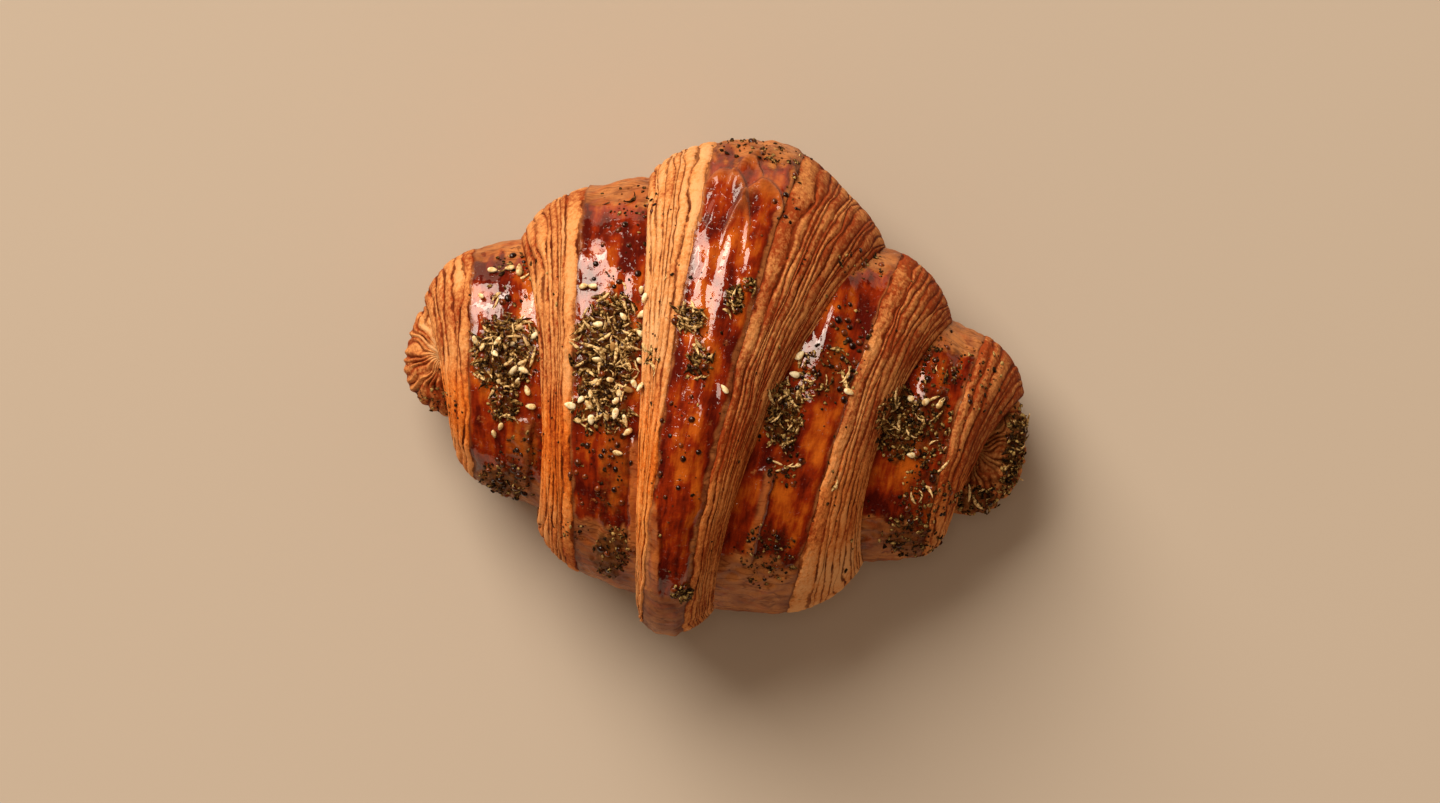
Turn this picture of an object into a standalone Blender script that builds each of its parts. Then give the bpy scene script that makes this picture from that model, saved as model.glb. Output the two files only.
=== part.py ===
"""A baked croissant, rolled from one sheet of layered dough and strewn with sesame and dried herbs.

The roll lies along X with its back towards +Y. Four turns of dough lie over each other, each shorter and
fatter than the one below it. A turn shows a band of crust round its middle, and its cut sheets as ridges
on both flanks. The turns, the seeds and the herb flakes are joined into one solid.
"""
import math
import random
from dataclasses import dataclass

import bmesh
import bpy
import numpy as np
from mathutils import Euler, Matrix, Vector
from mathutils.bvhtree import BVHTree

MM = 0.001

# Driving sizes, in millimetres. The hoops below give the form, and the finished solid is brought to this box.
LENGTH = 150.0
WIDTH = 119.5
HEIGHT = 76.0
SECTION_POWER = 2.15      # 2 is an ellipse, more is squarer
FLANK_ROUNDNESS = 0.62    # 0 is a straight cone, 1 a quarter ellipse
TOP_CROWDING = 0.34       # how much closer the facets lie on top than underneath
TUCK_IN = 1.6             # how far a flank's foot turns back under its turn
TUCK_DEPTH = 0.86         # the reach that is left where the foot ends inside the turn below

# Layered flanks and the crust between them
SHEETS = 6                # thick sheets that stand out on a flank
SHEET_RELIEF = 0.95
SHEET_WAVER = 0.035
RIM_SHEET = 0.22          # share of the flank that the outermost, thickest sheet takes
CRUST_LUMPS = 0.55
CRUST_RINGS = 7
RINGS_PER_SHEET = 2

# Sesame and herbs
SEED = (3.0, 1.8, 1.0)    # length, width, thickness
FLAKE = (3.2, 1.0, 0.9)
SINK = 0.2                # share of a piece's thickness that lies in the crust
TAPER = 0.35              # how much narrower a piece is at one end
LEAN = 0.2                # most that a piece is tipped up, in radians
FEWEST_GAP = 2.1          # least distance between two pieces, so that they stay apart
STEEPEST = 0.3            # pieces stay off ground steeper than this share of upright


@dataclass(frozen=True)
class Hoop:
    """A closed curve round the roll, given by where it crosses the front, top, back and underside."""

    x: tuple        # at the front, top, back and underside
    y: tuple        # front and back reach
    z: tuple        # lowest, widest and highest

    def along(self, phi):
        """x at the angle phi, which is 0 on top and a quarter turn at the back."""
        front, top, back, under = self.x
        mean = (front + top + back + under) / 4
        twice = (top + under - back - front) / 4
        return (mean + (top - under) / 2 * np.cos(phi) + (back - front) / 2 * np.sin(phi)
                + twice * np.cos(2 * phi))

    def centre(self):
        return (self.y[0] + self.y[1]) / 2

    def reach(self):
        return (self.y[1] - self.y[0]) / 2


@dataclass(frozen=True)
class Turn:
    """One turn of the rolled dough: its two rims, its two feet, and how far its crust swells between."""

    name: str
    left_foot: Hoop
    left_rim: Hoop
    right_rim: Hoop
    right_foot: Hoop
    swell: float
    bed: float          # the height its underside is pressed flat at
    segments: int


CROWN = Turn(
    "crown",
    Hoop(x=(-11.6, -17.7, -23.4, -17.0), y=(-50.0, 46.0), z=(-12.0, 27.0, 63.5)),
    Hoop(x=(-9.2, -11.4, -8.8, -10.0), y=(-57.4, 56.6), z=(-15.0, 28.0, 73.2)),
    Hoop(x=(0.4, 3.1, 12.1, 5.0), y=(-58.2, 57.6), z=(-15.0, 28.0, 73.6)),
    Hoop(x=(7.8, 12.4, 34.5, 18.0), y=(-49.0, 38.4), z=(-12.0, 27.0, 61.5)),
    swell=1.6, bed=0.0, segments=38)

MIDDLE = Turn(
    "middle",
    Hoop(x=(-37.6, -40.9, -51.3, -43.0), y=(-37.0, 27.1), z=(-2.0, 25.0, 49.5)),
    Hoop(x=(-25.6, -33.6, -36.9, -30.0), y=(-48.0, 41.8), z=(-9.0, 26.0, 61.5)),
    Hoop(x=(23.9, 28.9, 38.1, 30.0), y=(-50.2, 37.6), z=(-9.0, 26.0, 60.0)),
    Hoop(x=(40.2, 39.3, 52.5, 43.0), y=(-35.6, 23.1), z=(-2.0, 25.0, 47.0)),
    swell=2.6, bed=0.5, segments=34)

OUTER = Turn(
    "outer",
    Hoop(x=(-61.3, -65.8, -72.2, -66.0), y=(-18.1, 10.1), z=(6.0, 18.0, 31.0)),
    Hoop(x=(-53.2, -58.4, -61.3, -56.0), y=(-30.4, 23.5), z=(1.0, 21.0, 43.0)),
    Hoop(x=(53.5, 55.1, 60.6, 55.0), y=(-32.4, 21.4), z=(1.0, 21.0, 43.0)),
    Hoop(x=(59.4, 62.9, 72.2, 64.0), y=(-23.4, 9.0), z=(5.0, 18.0, 31.5)),
    swell=8.0, bed=1.0, segments=30)

# The innermost turn shows as a blunt tip at each end
TIP_SHOULDERS = (
    Hoop(x=(-61.0, -66.0, -71.0, -66.0), y=(-16.6, 8.6), z=(7.0, 17.5, 29.0)),
    Hoop(x=(61.0, 63.0, 70.0, 64.0), y=(-21.4, 7.4), z=(6.0, 17.5, 29.5)))
TIP_ENDS = (
    Hoop(x=(-74.6,) * 4, y=(-4.4, -4.4), z=(17.0,) * 3),
    Hoop(x=(74.6,) * 4, y=(-6.4, -6.4), z=(17.0,) * 3))
TIP_RINGS = 7
TIP_SEGMENTS = 26
TIP_WRINKLES = 11
TIP_RELIEF = 0.5

# Patches of topping: centre and radii in plan, and how many seeds and flakes lie in it
PATCHES = (
    ("left_band", (-50.0, -0.5), (8.0, 10.5), 16, 10),
    ("left_front", (-49.5, -14.5), (6.5, 5.0), 3, 1),
    ("left_back", (-51.5, 19.0), (6.5, 3.5), 3, 0),
    ("second_band", (-26.0, 1.5), (8.0, 14.0), 10, 11),
    ("second_front", (-26.0, -9.5), (8.0, 6.5), 13, 3),
    ("second_low", (-23.0, -17.5), (6.0, 5.0), 3, 0),
    ("crown_left", (-8.6, 14.2), (3.6, 2.6), 0, 3),
    ("crown_right", (0.8, 20.6), (2.2, 3.0), 0, 3),
    ("crown_middle", (-5.0, 4.0), (4.5, 4.0), 1, 3),
    ("crown_front", (-1.0, -47.5), (2.0, 1.6), 0, 2),
    ("right_band", (26.0, 7.5), (6.0, 6.0), 3, 3),
    ("right_groove", (16.6, -4.0), (3.2, 6.4), 0, 5),
    ("fourth_band", (46.5, -1.0), (6.0, 9.0), 3, 7),
    ("fourth_front", (54.0, -26.0), (5.0, 3.5), 1, 2),
    ("right_tip", (69.5, -5.0), (2.8, 7.0), 0, 5))


def ripple(u, v, length, seed, waves=7):
    """Smooth uneven relief between about -1 and 1: a sum of waves of about one length, set by the seed."""
    draw = random.Random(seed)
    total = 0.0
    for _ in range(waves):
        angle = draw.uniform(0, math.pi)
        size = 2 * math.pi / (length * draw.uniform(0.7, 1.5))
        total = total + np.sin(size * (u * math.cos(angle) + v * math.sin(angle)) + draw.uniform(0, 6.28))
    return total / math.sqrt(waves) / 1.3


def rounded(value):
    """A sine or cosine pushed outwards, for a section a little squarer than an ellipse."""
    return np.sign(value) * np.abs(value) ** (2 / SECTION_POWER)


def between(first, second, go_along, go_in, phi):
    """The point at phi on the curve between two hoops: go_along shares their x, go_in their reach."""
    x = first.along(phi) * (1 - go_along) + second.along(phi) * go_along
    centre = first.centre() * (1 - go_in) + second.centre() * go_in
    reach = first.reach() * (1 - go_in) + second.reach() * go_in
    low, middle, high = (a * (1 - go_in) + b * go_in for a, b in zip(first.z, second.z))
    rise = rounded(np.cos(phi))
    z = middle + np.where(rise > 0, rise * (high - middle), rise * (middle - low))
    return np.stack([x, centre + reach * rounded(np.sin(phi)), z], axis=-1)


def tucked(foot, side):
    """The hoop where a foot ends, turned back under its turn."""
    middle = foot.z[1]
    return Hoop(tuple(x - side * TUCK_IN for x in foot.x),
                tuple(foot.centre() + (y - foot.centre()) * TUCK_DEPTH for y in foot.y),
                tuple(middle + (z - middle) * TUCK_DEPTH for z in foot.z))


def closing(hoop):
    """The point at the middle of a hoop, as a hoop without reach."""
    return Hoop((sum(hoop.x) / 4,) * 4, (hoop.centre(),) * 2, (hoop.z[1],) * 3)


def flank(rim, foot, share, phi):
    """From the rim at 0 down to the foot at 1, bulging outwards."""
    bend = share * math.pi / 2
    go_along = (1 - FLANK_ROUNDNESS) * share + FLANK_ROUNDNESS * np.sin(bend)
    go_in = (1 - FLANK_ROUNDNESS) * share + FLANK_ROUNDNESS * (1 - np.cos(bend))
    return between(rim, foot, go_along, go_in, phi)


def swollen(hoop, by):
    """The hoop pushed outwards by a distance."""
    return Hoop(hoop.x, (hoop.y[0] - by, hoop.y[1] + by), (hoop.z[0] - by, hoop.z[1], hoop.z[2] + by))


def crust(turn, share, phi):
    """The band between the rims, swollen in the middle."""
    bulge = 4 * share * (1 - share)
    flat = between(turn.left_rim, turn.right_rim, share, share, phi)
    full = between(swollen(turn.left_rim, turn.swell), swollen(turn.right_rim, turn.swell), share, share, phi)
    return flat + (full - flat) * bulge[..., None]


def turn_point(turn, s, phi):
    """The smooth surface of a turn: s is 0 and 7 at the hidden middle of its ends, 2 and 5 at its feet, and
    3 and 4 at its rims."""
    left_tuck, right_tuck = tucked(turn.left_foot, -1), tucked(turn.right_foot, 1)
    pieces = (
        between(closing(left_tuck), left_tuck, s, s, phi),
        between(left_tuck, turn.left_foot, s - 1, s - 1, phi),
        flank(turn.left_rim, turn.left_foot, 3 - s, phi),
        crust(turn, s - 3, phi),
        flank(turn.right_rim, turn.right_foot, s - 4, phi),
        between(turn.right_foot, right_tuck, s - 5, s - 5, phi),
        between(right_tuck, closing(right_tuck), s - 6, s - 6, phi))
    which = np.clip(np.floor(s), 0, 6).astype(int)
    return np.choose(which[..., None], pieces)


def tip_point(turn, s, phi):
    """The smooth surface of the innermost turn, a body between two shoulders with a dome at each end."""
    left, right = TIP_SHOULDERS
    left_end, right_end = TIP_ENDS
    rising = np.sin(np.clip(1 - s, 0, 1) * math.pi / 2)
    falling = np.sin(np.clip(s - 2, 0, 1) * math.pi / 2)
    pieces = (
        between(left, left_end, rising, 1 - np.sqrt(1 - rising ** 2 + 1e-12), phi),
        between(left, right, s - 1, s - 1, phi),
        between(right, right_end, falling, 1 - np.sqrt(1 - falling ** 2 + 1e-12), phi))
    return np.choose(np.clip(np.floor(s), 0, 2).astype(int)[..., None], pieces)


def normals(point_of, turn, s, phi):
    """Outward directions of a smooth surface, from small steps along it."""
    step = 1e-3
    along = point_of(turn, s + step, phi) - point_of(turn, s - step, phi)
    around = point_of(turn, s, phi + step) - point_of(turn, s, phi - step)
    out = np.cross(around, along)
    return out / np.maximum(np.linalg.norm(out, axis=-1, keepdims=True), 1e-9)


def sheet_edges(seed):
    """Where the sheets of a flank part, as shares from the rim to the foot."""
    draw = random.Random(seed)
    widths = [draw.uniform(0.75, 1.25) for _ in range(SHEETS - 1)]
    scale = (1 - RIM_SHEET) / sum(widths)
    edges = [0.0, RIM_SHEET]
    for width in widths:
        edges.append(edges[-1] + width * scale)
    return np.array(edges)


def sheets(share, phi, seed):
    """Relief of the cut sheets on a flank: rounded ridges with narrow grooves between them."""
    edges = sheet_edges(seed)
    place = np.clip(share + SHEET_WAVER * ripple(phi * 8, share * 3, 6.0, seed) * share * (1 - share) * 4,
                    0, 0.9999)
    below = np.clip(np.searchsorted(edges, place, side="right") - 1, 0, SHEETS - 1)
    across = (place - edges[below]) / (edges[below + 1] - edges[below])
    return SHEET_RELIEF * (0.4 - np.abs(2 * across - 1) ** 2.5)


def turn_relief(turn, s, phi):
    """How far the finished surface stands out from the smooth one."""
    seed = len(turn.name) * 17
    lumps = CRUST_LUMPS * ripple(s * 16, phi * 30, 16.0, seed)
    left, right = np.clip(3 - s, 0, 1), np.clip(s - 4, 0, 1)
    on_left, on_right = (s > 2) & (s < 3), (s > 4) & (s < 5)
    return (np.where((s >= 3) & (s <= 4), lumps, 0.0)
            + np.where(on_left, sheets(left, phi, seed + 1), 0.0)
            + np.where(on_right, sheets(right, phi, seed + 2), 0.0))


def tip_relief(turn, s, phi):
    """Wrinkles that run out from the middle of each tip."""
    near_end = np.clip(np.maximum(1 - s, s - 2), 0, 1)
    fold = np.sin(TIP_WRINKLES * phi + 2.2 * near_end + 0.8 * np.sin(2 * phi))
    return TIP_RELIEF * fold * np.sin(math.pi * near_end ** 0.8)


def turn_stations(turn):
    """Where the rings of a turn lie: close together over each sheet, and few where they are hidden."""
    seed = len(turn.name) * 17
    left = 3 - sheet_stations(seed + 1)[::-1]
    right = 4 + sheet_stations(seed + 2)
    middle = 3 + np.arange(1, CRUST_RINGS) / CRUST_RINGS
    return np.concatenate([[0, 1, 1.6], left, middle, right, [5.4, 6, 7]])


def sheet_stations(seed):
    """Shares from the rim to the foot: one in each groove, and the rest spread over the sheet."""
    edges = sheet_edges(seed)
    found = []
    for near, far in zip(edges[:-1], edges[1:]):
        found += [near + (far - near) * k / RINGS_PER_SHEET for k in range(RINGS_PER_SHEET)]
    return np.array(found + [1.0])


def lofted(name, stations, segments, point_of, relief_of, turn, bed):
    """A closed mesh: a UV sphere whose rings are laid on the turn's stations."""
    form = bmesh.new()
    bmesh.ops.create_uvsphere(form, u_segments=segments, v_segments=len(stations) - 1, radius=1.0)
    unit = np.array([v.co for v in form.verts])
    ring = np.rint(np.arccos(np.clip(unit[:, 2], -1, 1)) / math.pi * (len(stations) - 1)).astype(int)
    turned = np.arctan2(unit[:, 1], unit[:, 0])
    phi = turned - TOP_CROWDING * np.sin(turned)
    s = stations[ring]
    inside = np.clip(s, 0.002, stations[-1] - 0.002)
    place = point_of(turn, inside, phi)
    place = place + normals(point_of, turn, inside, phi) * relief_of(turn, inside, phi)[:, None]
    ends = (ring == 0) | (ring == len(stations) - 1)
    place[ends] = point_of(turn, np.clip(s, 0, stations[-1] - 1e-9), phi)[ends]
    place[:, 2] = np.maximum(place[:, 2], bed)
    for vertex, where in zip(form.verts, place * MM):
        vertex.co = where
    if form.calc_volume(signed=True) < 0:
        bmesh.ops.reverse_faces(form, faces=form.faces)
    return as_object(name, form)


def as_object(name, form):
    """A scene object from a bmesh, which is freed."""
    mesh = bpy.data.meshes.new(name)
    form.to_mesh(mesh)
    form.free()
    return bpy.data.objects.new(name, mesh)


def pip(name, kind, size, where, up, spin, lean):
    """A piece of topping lying on the surface, narrower at one end: a round seed or a square-cut flake."""
    form = bmesh.new()
    if kind == "seed":
        bmesh.ops.create_icosphere(form, subdivisions=1, radius=0.5)
    else:
        bmesh.ops.create_cube(form, size=1.0)
    for vertex in form.verts:
        vertex.co.y *= 1 - 2 * TAPER * vertex.co.x
    bmesh.ops.scale(form, vec=Vector(size) * MM, verts=form.verts)
    stand = up.to_track_quat("Z", "X").to_matrix().to_4x4()
    turn = Euler((0, lean, spin)).to_matrix().to_4x4()
    lift = Matrix.Translation(where + up * size[2] * (0.5 - SINK) * MM)
    bmesh.ops.transform(form, matrix=lift @ stand @ turn, verts=form.verts)
    return as_object(name, form)


def scatter(surface):
    """The seeds and flakes, patch by patch, each dropped on the surface from above."""
    draw = random.Random(41)
    taken = []
    pieces = []
    for name, (x, y), (wide, deep), seeds, flakes in PATCHES:
        for count, size, kind in ((seeds, SEED, "seed"), (flakes, FLAKE, "flake")):
            placed = 0
            for _ in range(count * 30):
                if placed == count:
                    break
                angle, far = draw.uniform(0, 2 * math.pi), math.sqrt(draw.random())
                spot = Vector((x + wide * far * math.cos(angle), y + deep * far * math.sin(angle)))
                if any((spot - other).length < FEWEST_GAP for other in taken):
                    continue
                where, up, _, _ = surface.ray_cast(Vector((spot.x, spot.y, 2 * HEIGHT)) * MM, Vector((0, 0, -1)))
                if where is None or up.z < STEEPEST:
                    continue
                scale = draw.uniform(0.88, 1.12)
                pieces.append(pip(f"{name}_{kind}_{placed}", kind, [side * scale for side in size], where, up,
                                  draw.uniform(0, 2 * math.pi), draw.uniform(-LEAN, LEAN)))
                taken.append(spot)
                placed += 1
    return pieces


def surface_of(objects):
    """One tree of the outer faces of several meshes, for dropping pieces on."""
    form = bmesh.new()
    for obj in objects:
        form.from_mesh(obj.data)
    tree = BVHTree.FromBMesh(form)
    form.free()
    return tree


def joined(first, others, name):
    """The union of closed meshes as one object."""
    gathered = bpy.data.collections.new("to_join")
    bpy.context.scene.collection.children.link(gathered)
    for obj in others:
        gathered.objects.link(obj)
    union = first.modifiers.new("join", "BOOLEAN")
    union.operation = "UNION"
    union.operand_type = "COLLECTION"
    union.collection = gathered
    union.solver = "MANIFOLD"
    bpy.context.view_layer.update()
    graph = bpy.context.evaluated_depsgraph_get()
    mesh = bpy.data.meshes.new_from_object(first.evaluated_get(graph))
    first.modifiers.clear()
    first.data = mesh
    first.name = name
    for obj in others:
        bpy.data.objects.remove(obj)
    bpy.data.collections.remove(gathered)
    return first


def settle(obj):
    """Brings the solid to its driving sizes, with the middle of its flat underside at the origin."""
    corners = np.array([vertex.co for vertex in obj.data.vertices])
    low, high = corners.min(axis=0), corners.max(axis=0)
    foot = Vector(((low[0] + high[0]) / 2, (low[1] + high[1]) / 2, low[2]))
    stretch = np.array([LENGTH, WIDTH, HEIGHT]) * MM / (high - low)
    obj.data.transform(Matrix.Diagonal((*stretch, 1)) @ Matrix.Translation(-foot))


def crust_material():
    """Egg-washed crust, baked to a red brown."""
    material = bpy.data.materials.new("baked_crust")
    material.use_nodes = True
    shader = material.node_tree.nodes["Principled BSDF"]
    shader.inputs["Base Color"].default_value = (0.42, 0.13, 0.025, 1)
    shader.inputs["Roughness"].default_value = 0.35
    return material


def main():
    for obj in list(bpy.data.objects):
        bpy.data.objects.remove(obj)
    whole = bpy.data.collections.new("croissant_with_herbs")
    bpy.context.scene.collection.children.link(whole)
    turns = [lofted(turn.name, turn_stations(turn), turn.segments, turn_point, turn_relief, turn, turn.bed)
             for turn in (CROWN, MIDDLE, OUTER)]
    ends = np.linspace(0, 1, TIP_RINGS)
    tips = lofted("tips", np.concatenate([ends, 2 + ends]), TIP_SEGMENTS, tip_point, tip_relief, None, 1.5)
    pieces = scatter(surface_of(turns + [tips]))
    first = turns[0]
    whole.objects.link(first)
    croissant = joined(first, turns[1:] + [tips] + pieces, "croissant")
    settle(croissant)
    croissant.data.materials.clear()
    croissant.data.materials.append(crust_material())
    croissant.data.shade_smooth()


if __name__ == "__main__":
    main()
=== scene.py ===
"""Dresses the solid croissant: baked layers, egg-washed bands, sesame, dried herbs and dark crumbs.

The roll lies along X with its back towards +Y, as its solid does. Four turns of dough lie over each other.
A turn is a closed skin whose rings are laid on stations s: 2 and 5 are its feet, 3 and 4 its rims, and the
crust lies between the rims. The angle phi runs round the roll: 0 on top, a quarter turn at the back.
Forms are worked out in millimetres and brought to the solid's box in metres at the end.
"""

import logging
import math
import random
from dataclasses import dataclass
from enum import Enum
from typing import Optional, Sequence, Union

import bmesh
import bpy
import numpy as np
from mathutils import Euler, Matrix, Vector
from mathutils.bvhtree import BVHTree


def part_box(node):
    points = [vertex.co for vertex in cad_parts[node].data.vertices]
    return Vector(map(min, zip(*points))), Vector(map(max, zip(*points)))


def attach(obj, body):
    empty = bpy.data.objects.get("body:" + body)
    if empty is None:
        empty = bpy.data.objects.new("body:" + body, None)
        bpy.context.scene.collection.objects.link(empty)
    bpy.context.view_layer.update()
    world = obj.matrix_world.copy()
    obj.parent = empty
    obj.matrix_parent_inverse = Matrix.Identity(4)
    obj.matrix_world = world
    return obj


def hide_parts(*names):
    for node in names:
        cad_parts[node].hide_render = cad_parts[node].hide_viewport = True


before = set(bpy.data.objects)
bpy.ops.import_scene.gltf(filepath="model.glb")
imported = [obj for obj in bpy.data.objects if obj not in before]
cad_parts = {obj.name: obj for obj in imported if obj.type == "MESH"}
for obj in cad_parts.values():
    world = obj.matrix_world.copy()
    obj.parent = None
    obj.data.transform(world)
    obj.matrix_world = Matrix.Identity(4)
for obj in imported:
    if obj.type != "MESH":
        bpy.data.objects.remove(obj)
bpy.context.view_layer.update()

Array = np.ndarray
Pair = tuple[float, float]
Triple = tuple[float, float, float]
Four = tuple[float, float, float, float]
Colour = tuple[float, float, float]
Socket = bpy.types.NodeSocket
Value = Union[Socket, float, Colour]
Laid = tuple[Matrix, float]    # a piece's matrix and its tone

LOG = logging.getLogger("croissant")
MM = 0.001
NODE = "croissant"
BODY = "root"

SECTION_POWER = 2.15      # 2 is an ellipse, more is squarer
FLANK_ROUNDNESS = 0.62    # 0 is a straight cone, 1 a quarter ellipse
TUCK_IN = 1.6             # how far a flank's foot turns back under its turn
TUCK_DEPTH = 0.86         # the reach that is left where the foot ends inside the turn below

TRIES = 12                # spots tried for each loose piece that a heap wants
DROP_HEIGHT = 200.0       # where a piece is dropped from, in millimetres
LEAST_RISE = 0.08         # the steepest crust that holds a piece, by how far it faces up
LEAST_HEIGHT = 0.004      # no piece lies below this, in metres


def ripple(u: Array, v: Array, length: float, seed: int, waves: int = 9) -> Array:
    """Smooth uneven relief between about -1 and 1, a sum of waves of about one length.

    Args:
        u, v: where, in the same units as the length.
        length: the mean wave length.
        seed: sets the waves.
        waves: how many are added.

    Returns:
        The height at each place.
    """
    draw = random.Random(seed)
    total = 0.0
    for _ in range(waves):
        angle = draw.uniform(0, math.pi)
        size = 2 * math.pi / (length * draw.uniform(0.65, 1.6))
        total = total + np.sin(size * (u * math.cos(angle) + v * math.sin(angle)) + draw.uniform(0, 6.28))
    return total / math.sqrt(waves) / 1.3


def soft_step(value: Array, low: float, high: float) -> Array:
    """A soft step from 0 at low to 1 at high."""
    share = np.clip((value - low) / (high - low), 0, 1)
    return share * share * (3 - 2 * share)


def rounded(value: Array) -> Array:
    """A sine or cosine pushed outwards, for a section a little squarer than an ellipse."""
    return np.sign(value) * np.abs(value) ** (2 / SECTION_POWER)


@dataclass(frozen=True)
class Hoop:
    """A closed curve round the roll, given by where it crosses the front, top, back and underside."""

    x: Four               # at the front, top, back and underside
    y: Pair               # front and back reach
    z: Triple             # lowest, widest and highest
    waver: float = 0.0    # how unevenly it runs, in millimetres

    def along(self, phi: Array) -> Array:
        """Where the hoop runs along the roll.

        Args:
            phi: the angles round the roll.

        Returns:
            x at each angle.
        """
        front, top, back, under = self.x
        mean = (front + top + back + under) / 4
        twice = (top + under - back - front) / 4
        smooth = (mean + (top - under) / 2 * np.cos(phi) + (back - front) / 2 * np.sin(phi)
                  + twice * np.cos(2 * phi))
        if self.waver:
            up, back = self.reach() * np.cos(phi), self.reach() * np.sin(phi)
            smooth = smooth + self.waver * ripple(up, back, 9.0, round(abs(top)))
        return smooth

    def centre(self) -> float:
        """The middle between the front and the back."""
        return (self.y[0] + self.y[1]) / 2

    def reach(self) -> float:
        """Half the distance from front to back."""
        return (self.y[1] - self.y[0]) / 2

    def tucked(self, side: int) -> "Hoop":
        """The hoop where this foot ends, turned back under its turn.

        Args:
            side: -1 for a left foot and 1 for a right one.

        Returns:
            The hoop.
        """
        middle = self.z[1]
        return Hoop(tuple(x - side * TUCK_IN for x in self.x),
                    tuple(self.centre() + (y - self.centre()) * TUCK_DEPTH for y in self.y),
                    tuple(middle + (z - middle) * TUCK_DEPTH for z in self.z))

    def closed(self) -> "Hoop":
        """The point at the middle of this hoop, as a hoop without reach."""
        return Hoop((sum(self.x) / 4,) * 4, (self.centre(),) * 2, (self.z[1],) * 3)

    def swollen(self, by: float) -> "Hoop":
        """This hoop pushed outwards.

        Args:
            by: how far, in millimetres.

        Returns:
            The wider hoop.
        """
        front, back = self.y
        low, widest, high = self.z
        return Hoop(self.x, (front - by, back + by), (low - by, widest, high + by), self.waver)


def between(first: Hoop, second: Hoop, go_along: Array, go_in: Array, phi: Array) -> Array:
    """The point at phi on the curve between two hoops.

    Args:
        first, second: the hoops.
        go_along: the share of the way from the first's x to the second's.
        go_in: the share of the way from the first's reach and heights to the second's.
        phi: the angle round the roll.

    Returns:
        The points, one row each.
    """
    x = first.along(phi) * (1 - go_along) + second.along(phi) * go_along
    centre = first.centre() * (1 - go_in) + second.centre() * go_in
    reach = first.reach() * (1 - go_in) + second.reach() * go_in
    low, middle, high = (a * (1 - go_in) + b * go_in for a, b in zip(first.z, second.z))
    rise = rounded(np.cos(phi))
    z = middle + np.where(rise > 0, rise * (high - middle), rise * (middle - low))
    return np.stack([x, centre + reach * rounded(np.sin(phi)), z], axis=-1)


@dataclass(frozen=True)
class Picture:
    """How the picture's pixels lie over the roll, seen from straight above."""

    middle: Pair = (718.1, 387.4)     # the pixel over the middle of the roll
    turned: float = math.radians(8.6)
    pixel: float = 0.2366             # millimetres, at the height where the roll is widest

    def spot(self, across: float, down: float) -> Vector:
        """The place in plan under one pixel.

        Args:
            across, down: the pixel, from the picture's top left corner.

        Returns:
            Its x and y, in millimetres.
        """
        right, below = across - self.middle[0], down - self.middle[1]
        cos, sin = math.cos(self.turned), math.sin(self.turned)
        return Vector((right * cos + below * sin, right * sin - below * cos)) * self.pixel


@dataclass(frozen=True)
class Heap:
    """A patch of topping: its centre and radii in plan, and how many pieces of each kind lie in it."""

    name: str
    centre: Pair
    radii: Pair
    seeds: int = 0        # sesame
    curls: int = 0        # rolled herb leaves
    flakes: int = 0       # crushed herb leaves
    crumbs: int = 0       # red-brown crumbs
    beads: int = 0        # round dark seeds
    cover: float = 0.0    # how thickly fine herb covers the crust, 0 to 1
    depth: float = 0.0    # how high the loose pieces pile up

    def inside(self, x: Array, y: Array) -> Array:
        """1 in the middle of the heap, 0 at its edge and negative outside."""
        return 1 - np.hypot((x - self.centre[0]) / self.radii[0], (y - self.centre[1]) / self.radii[1])


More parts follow.
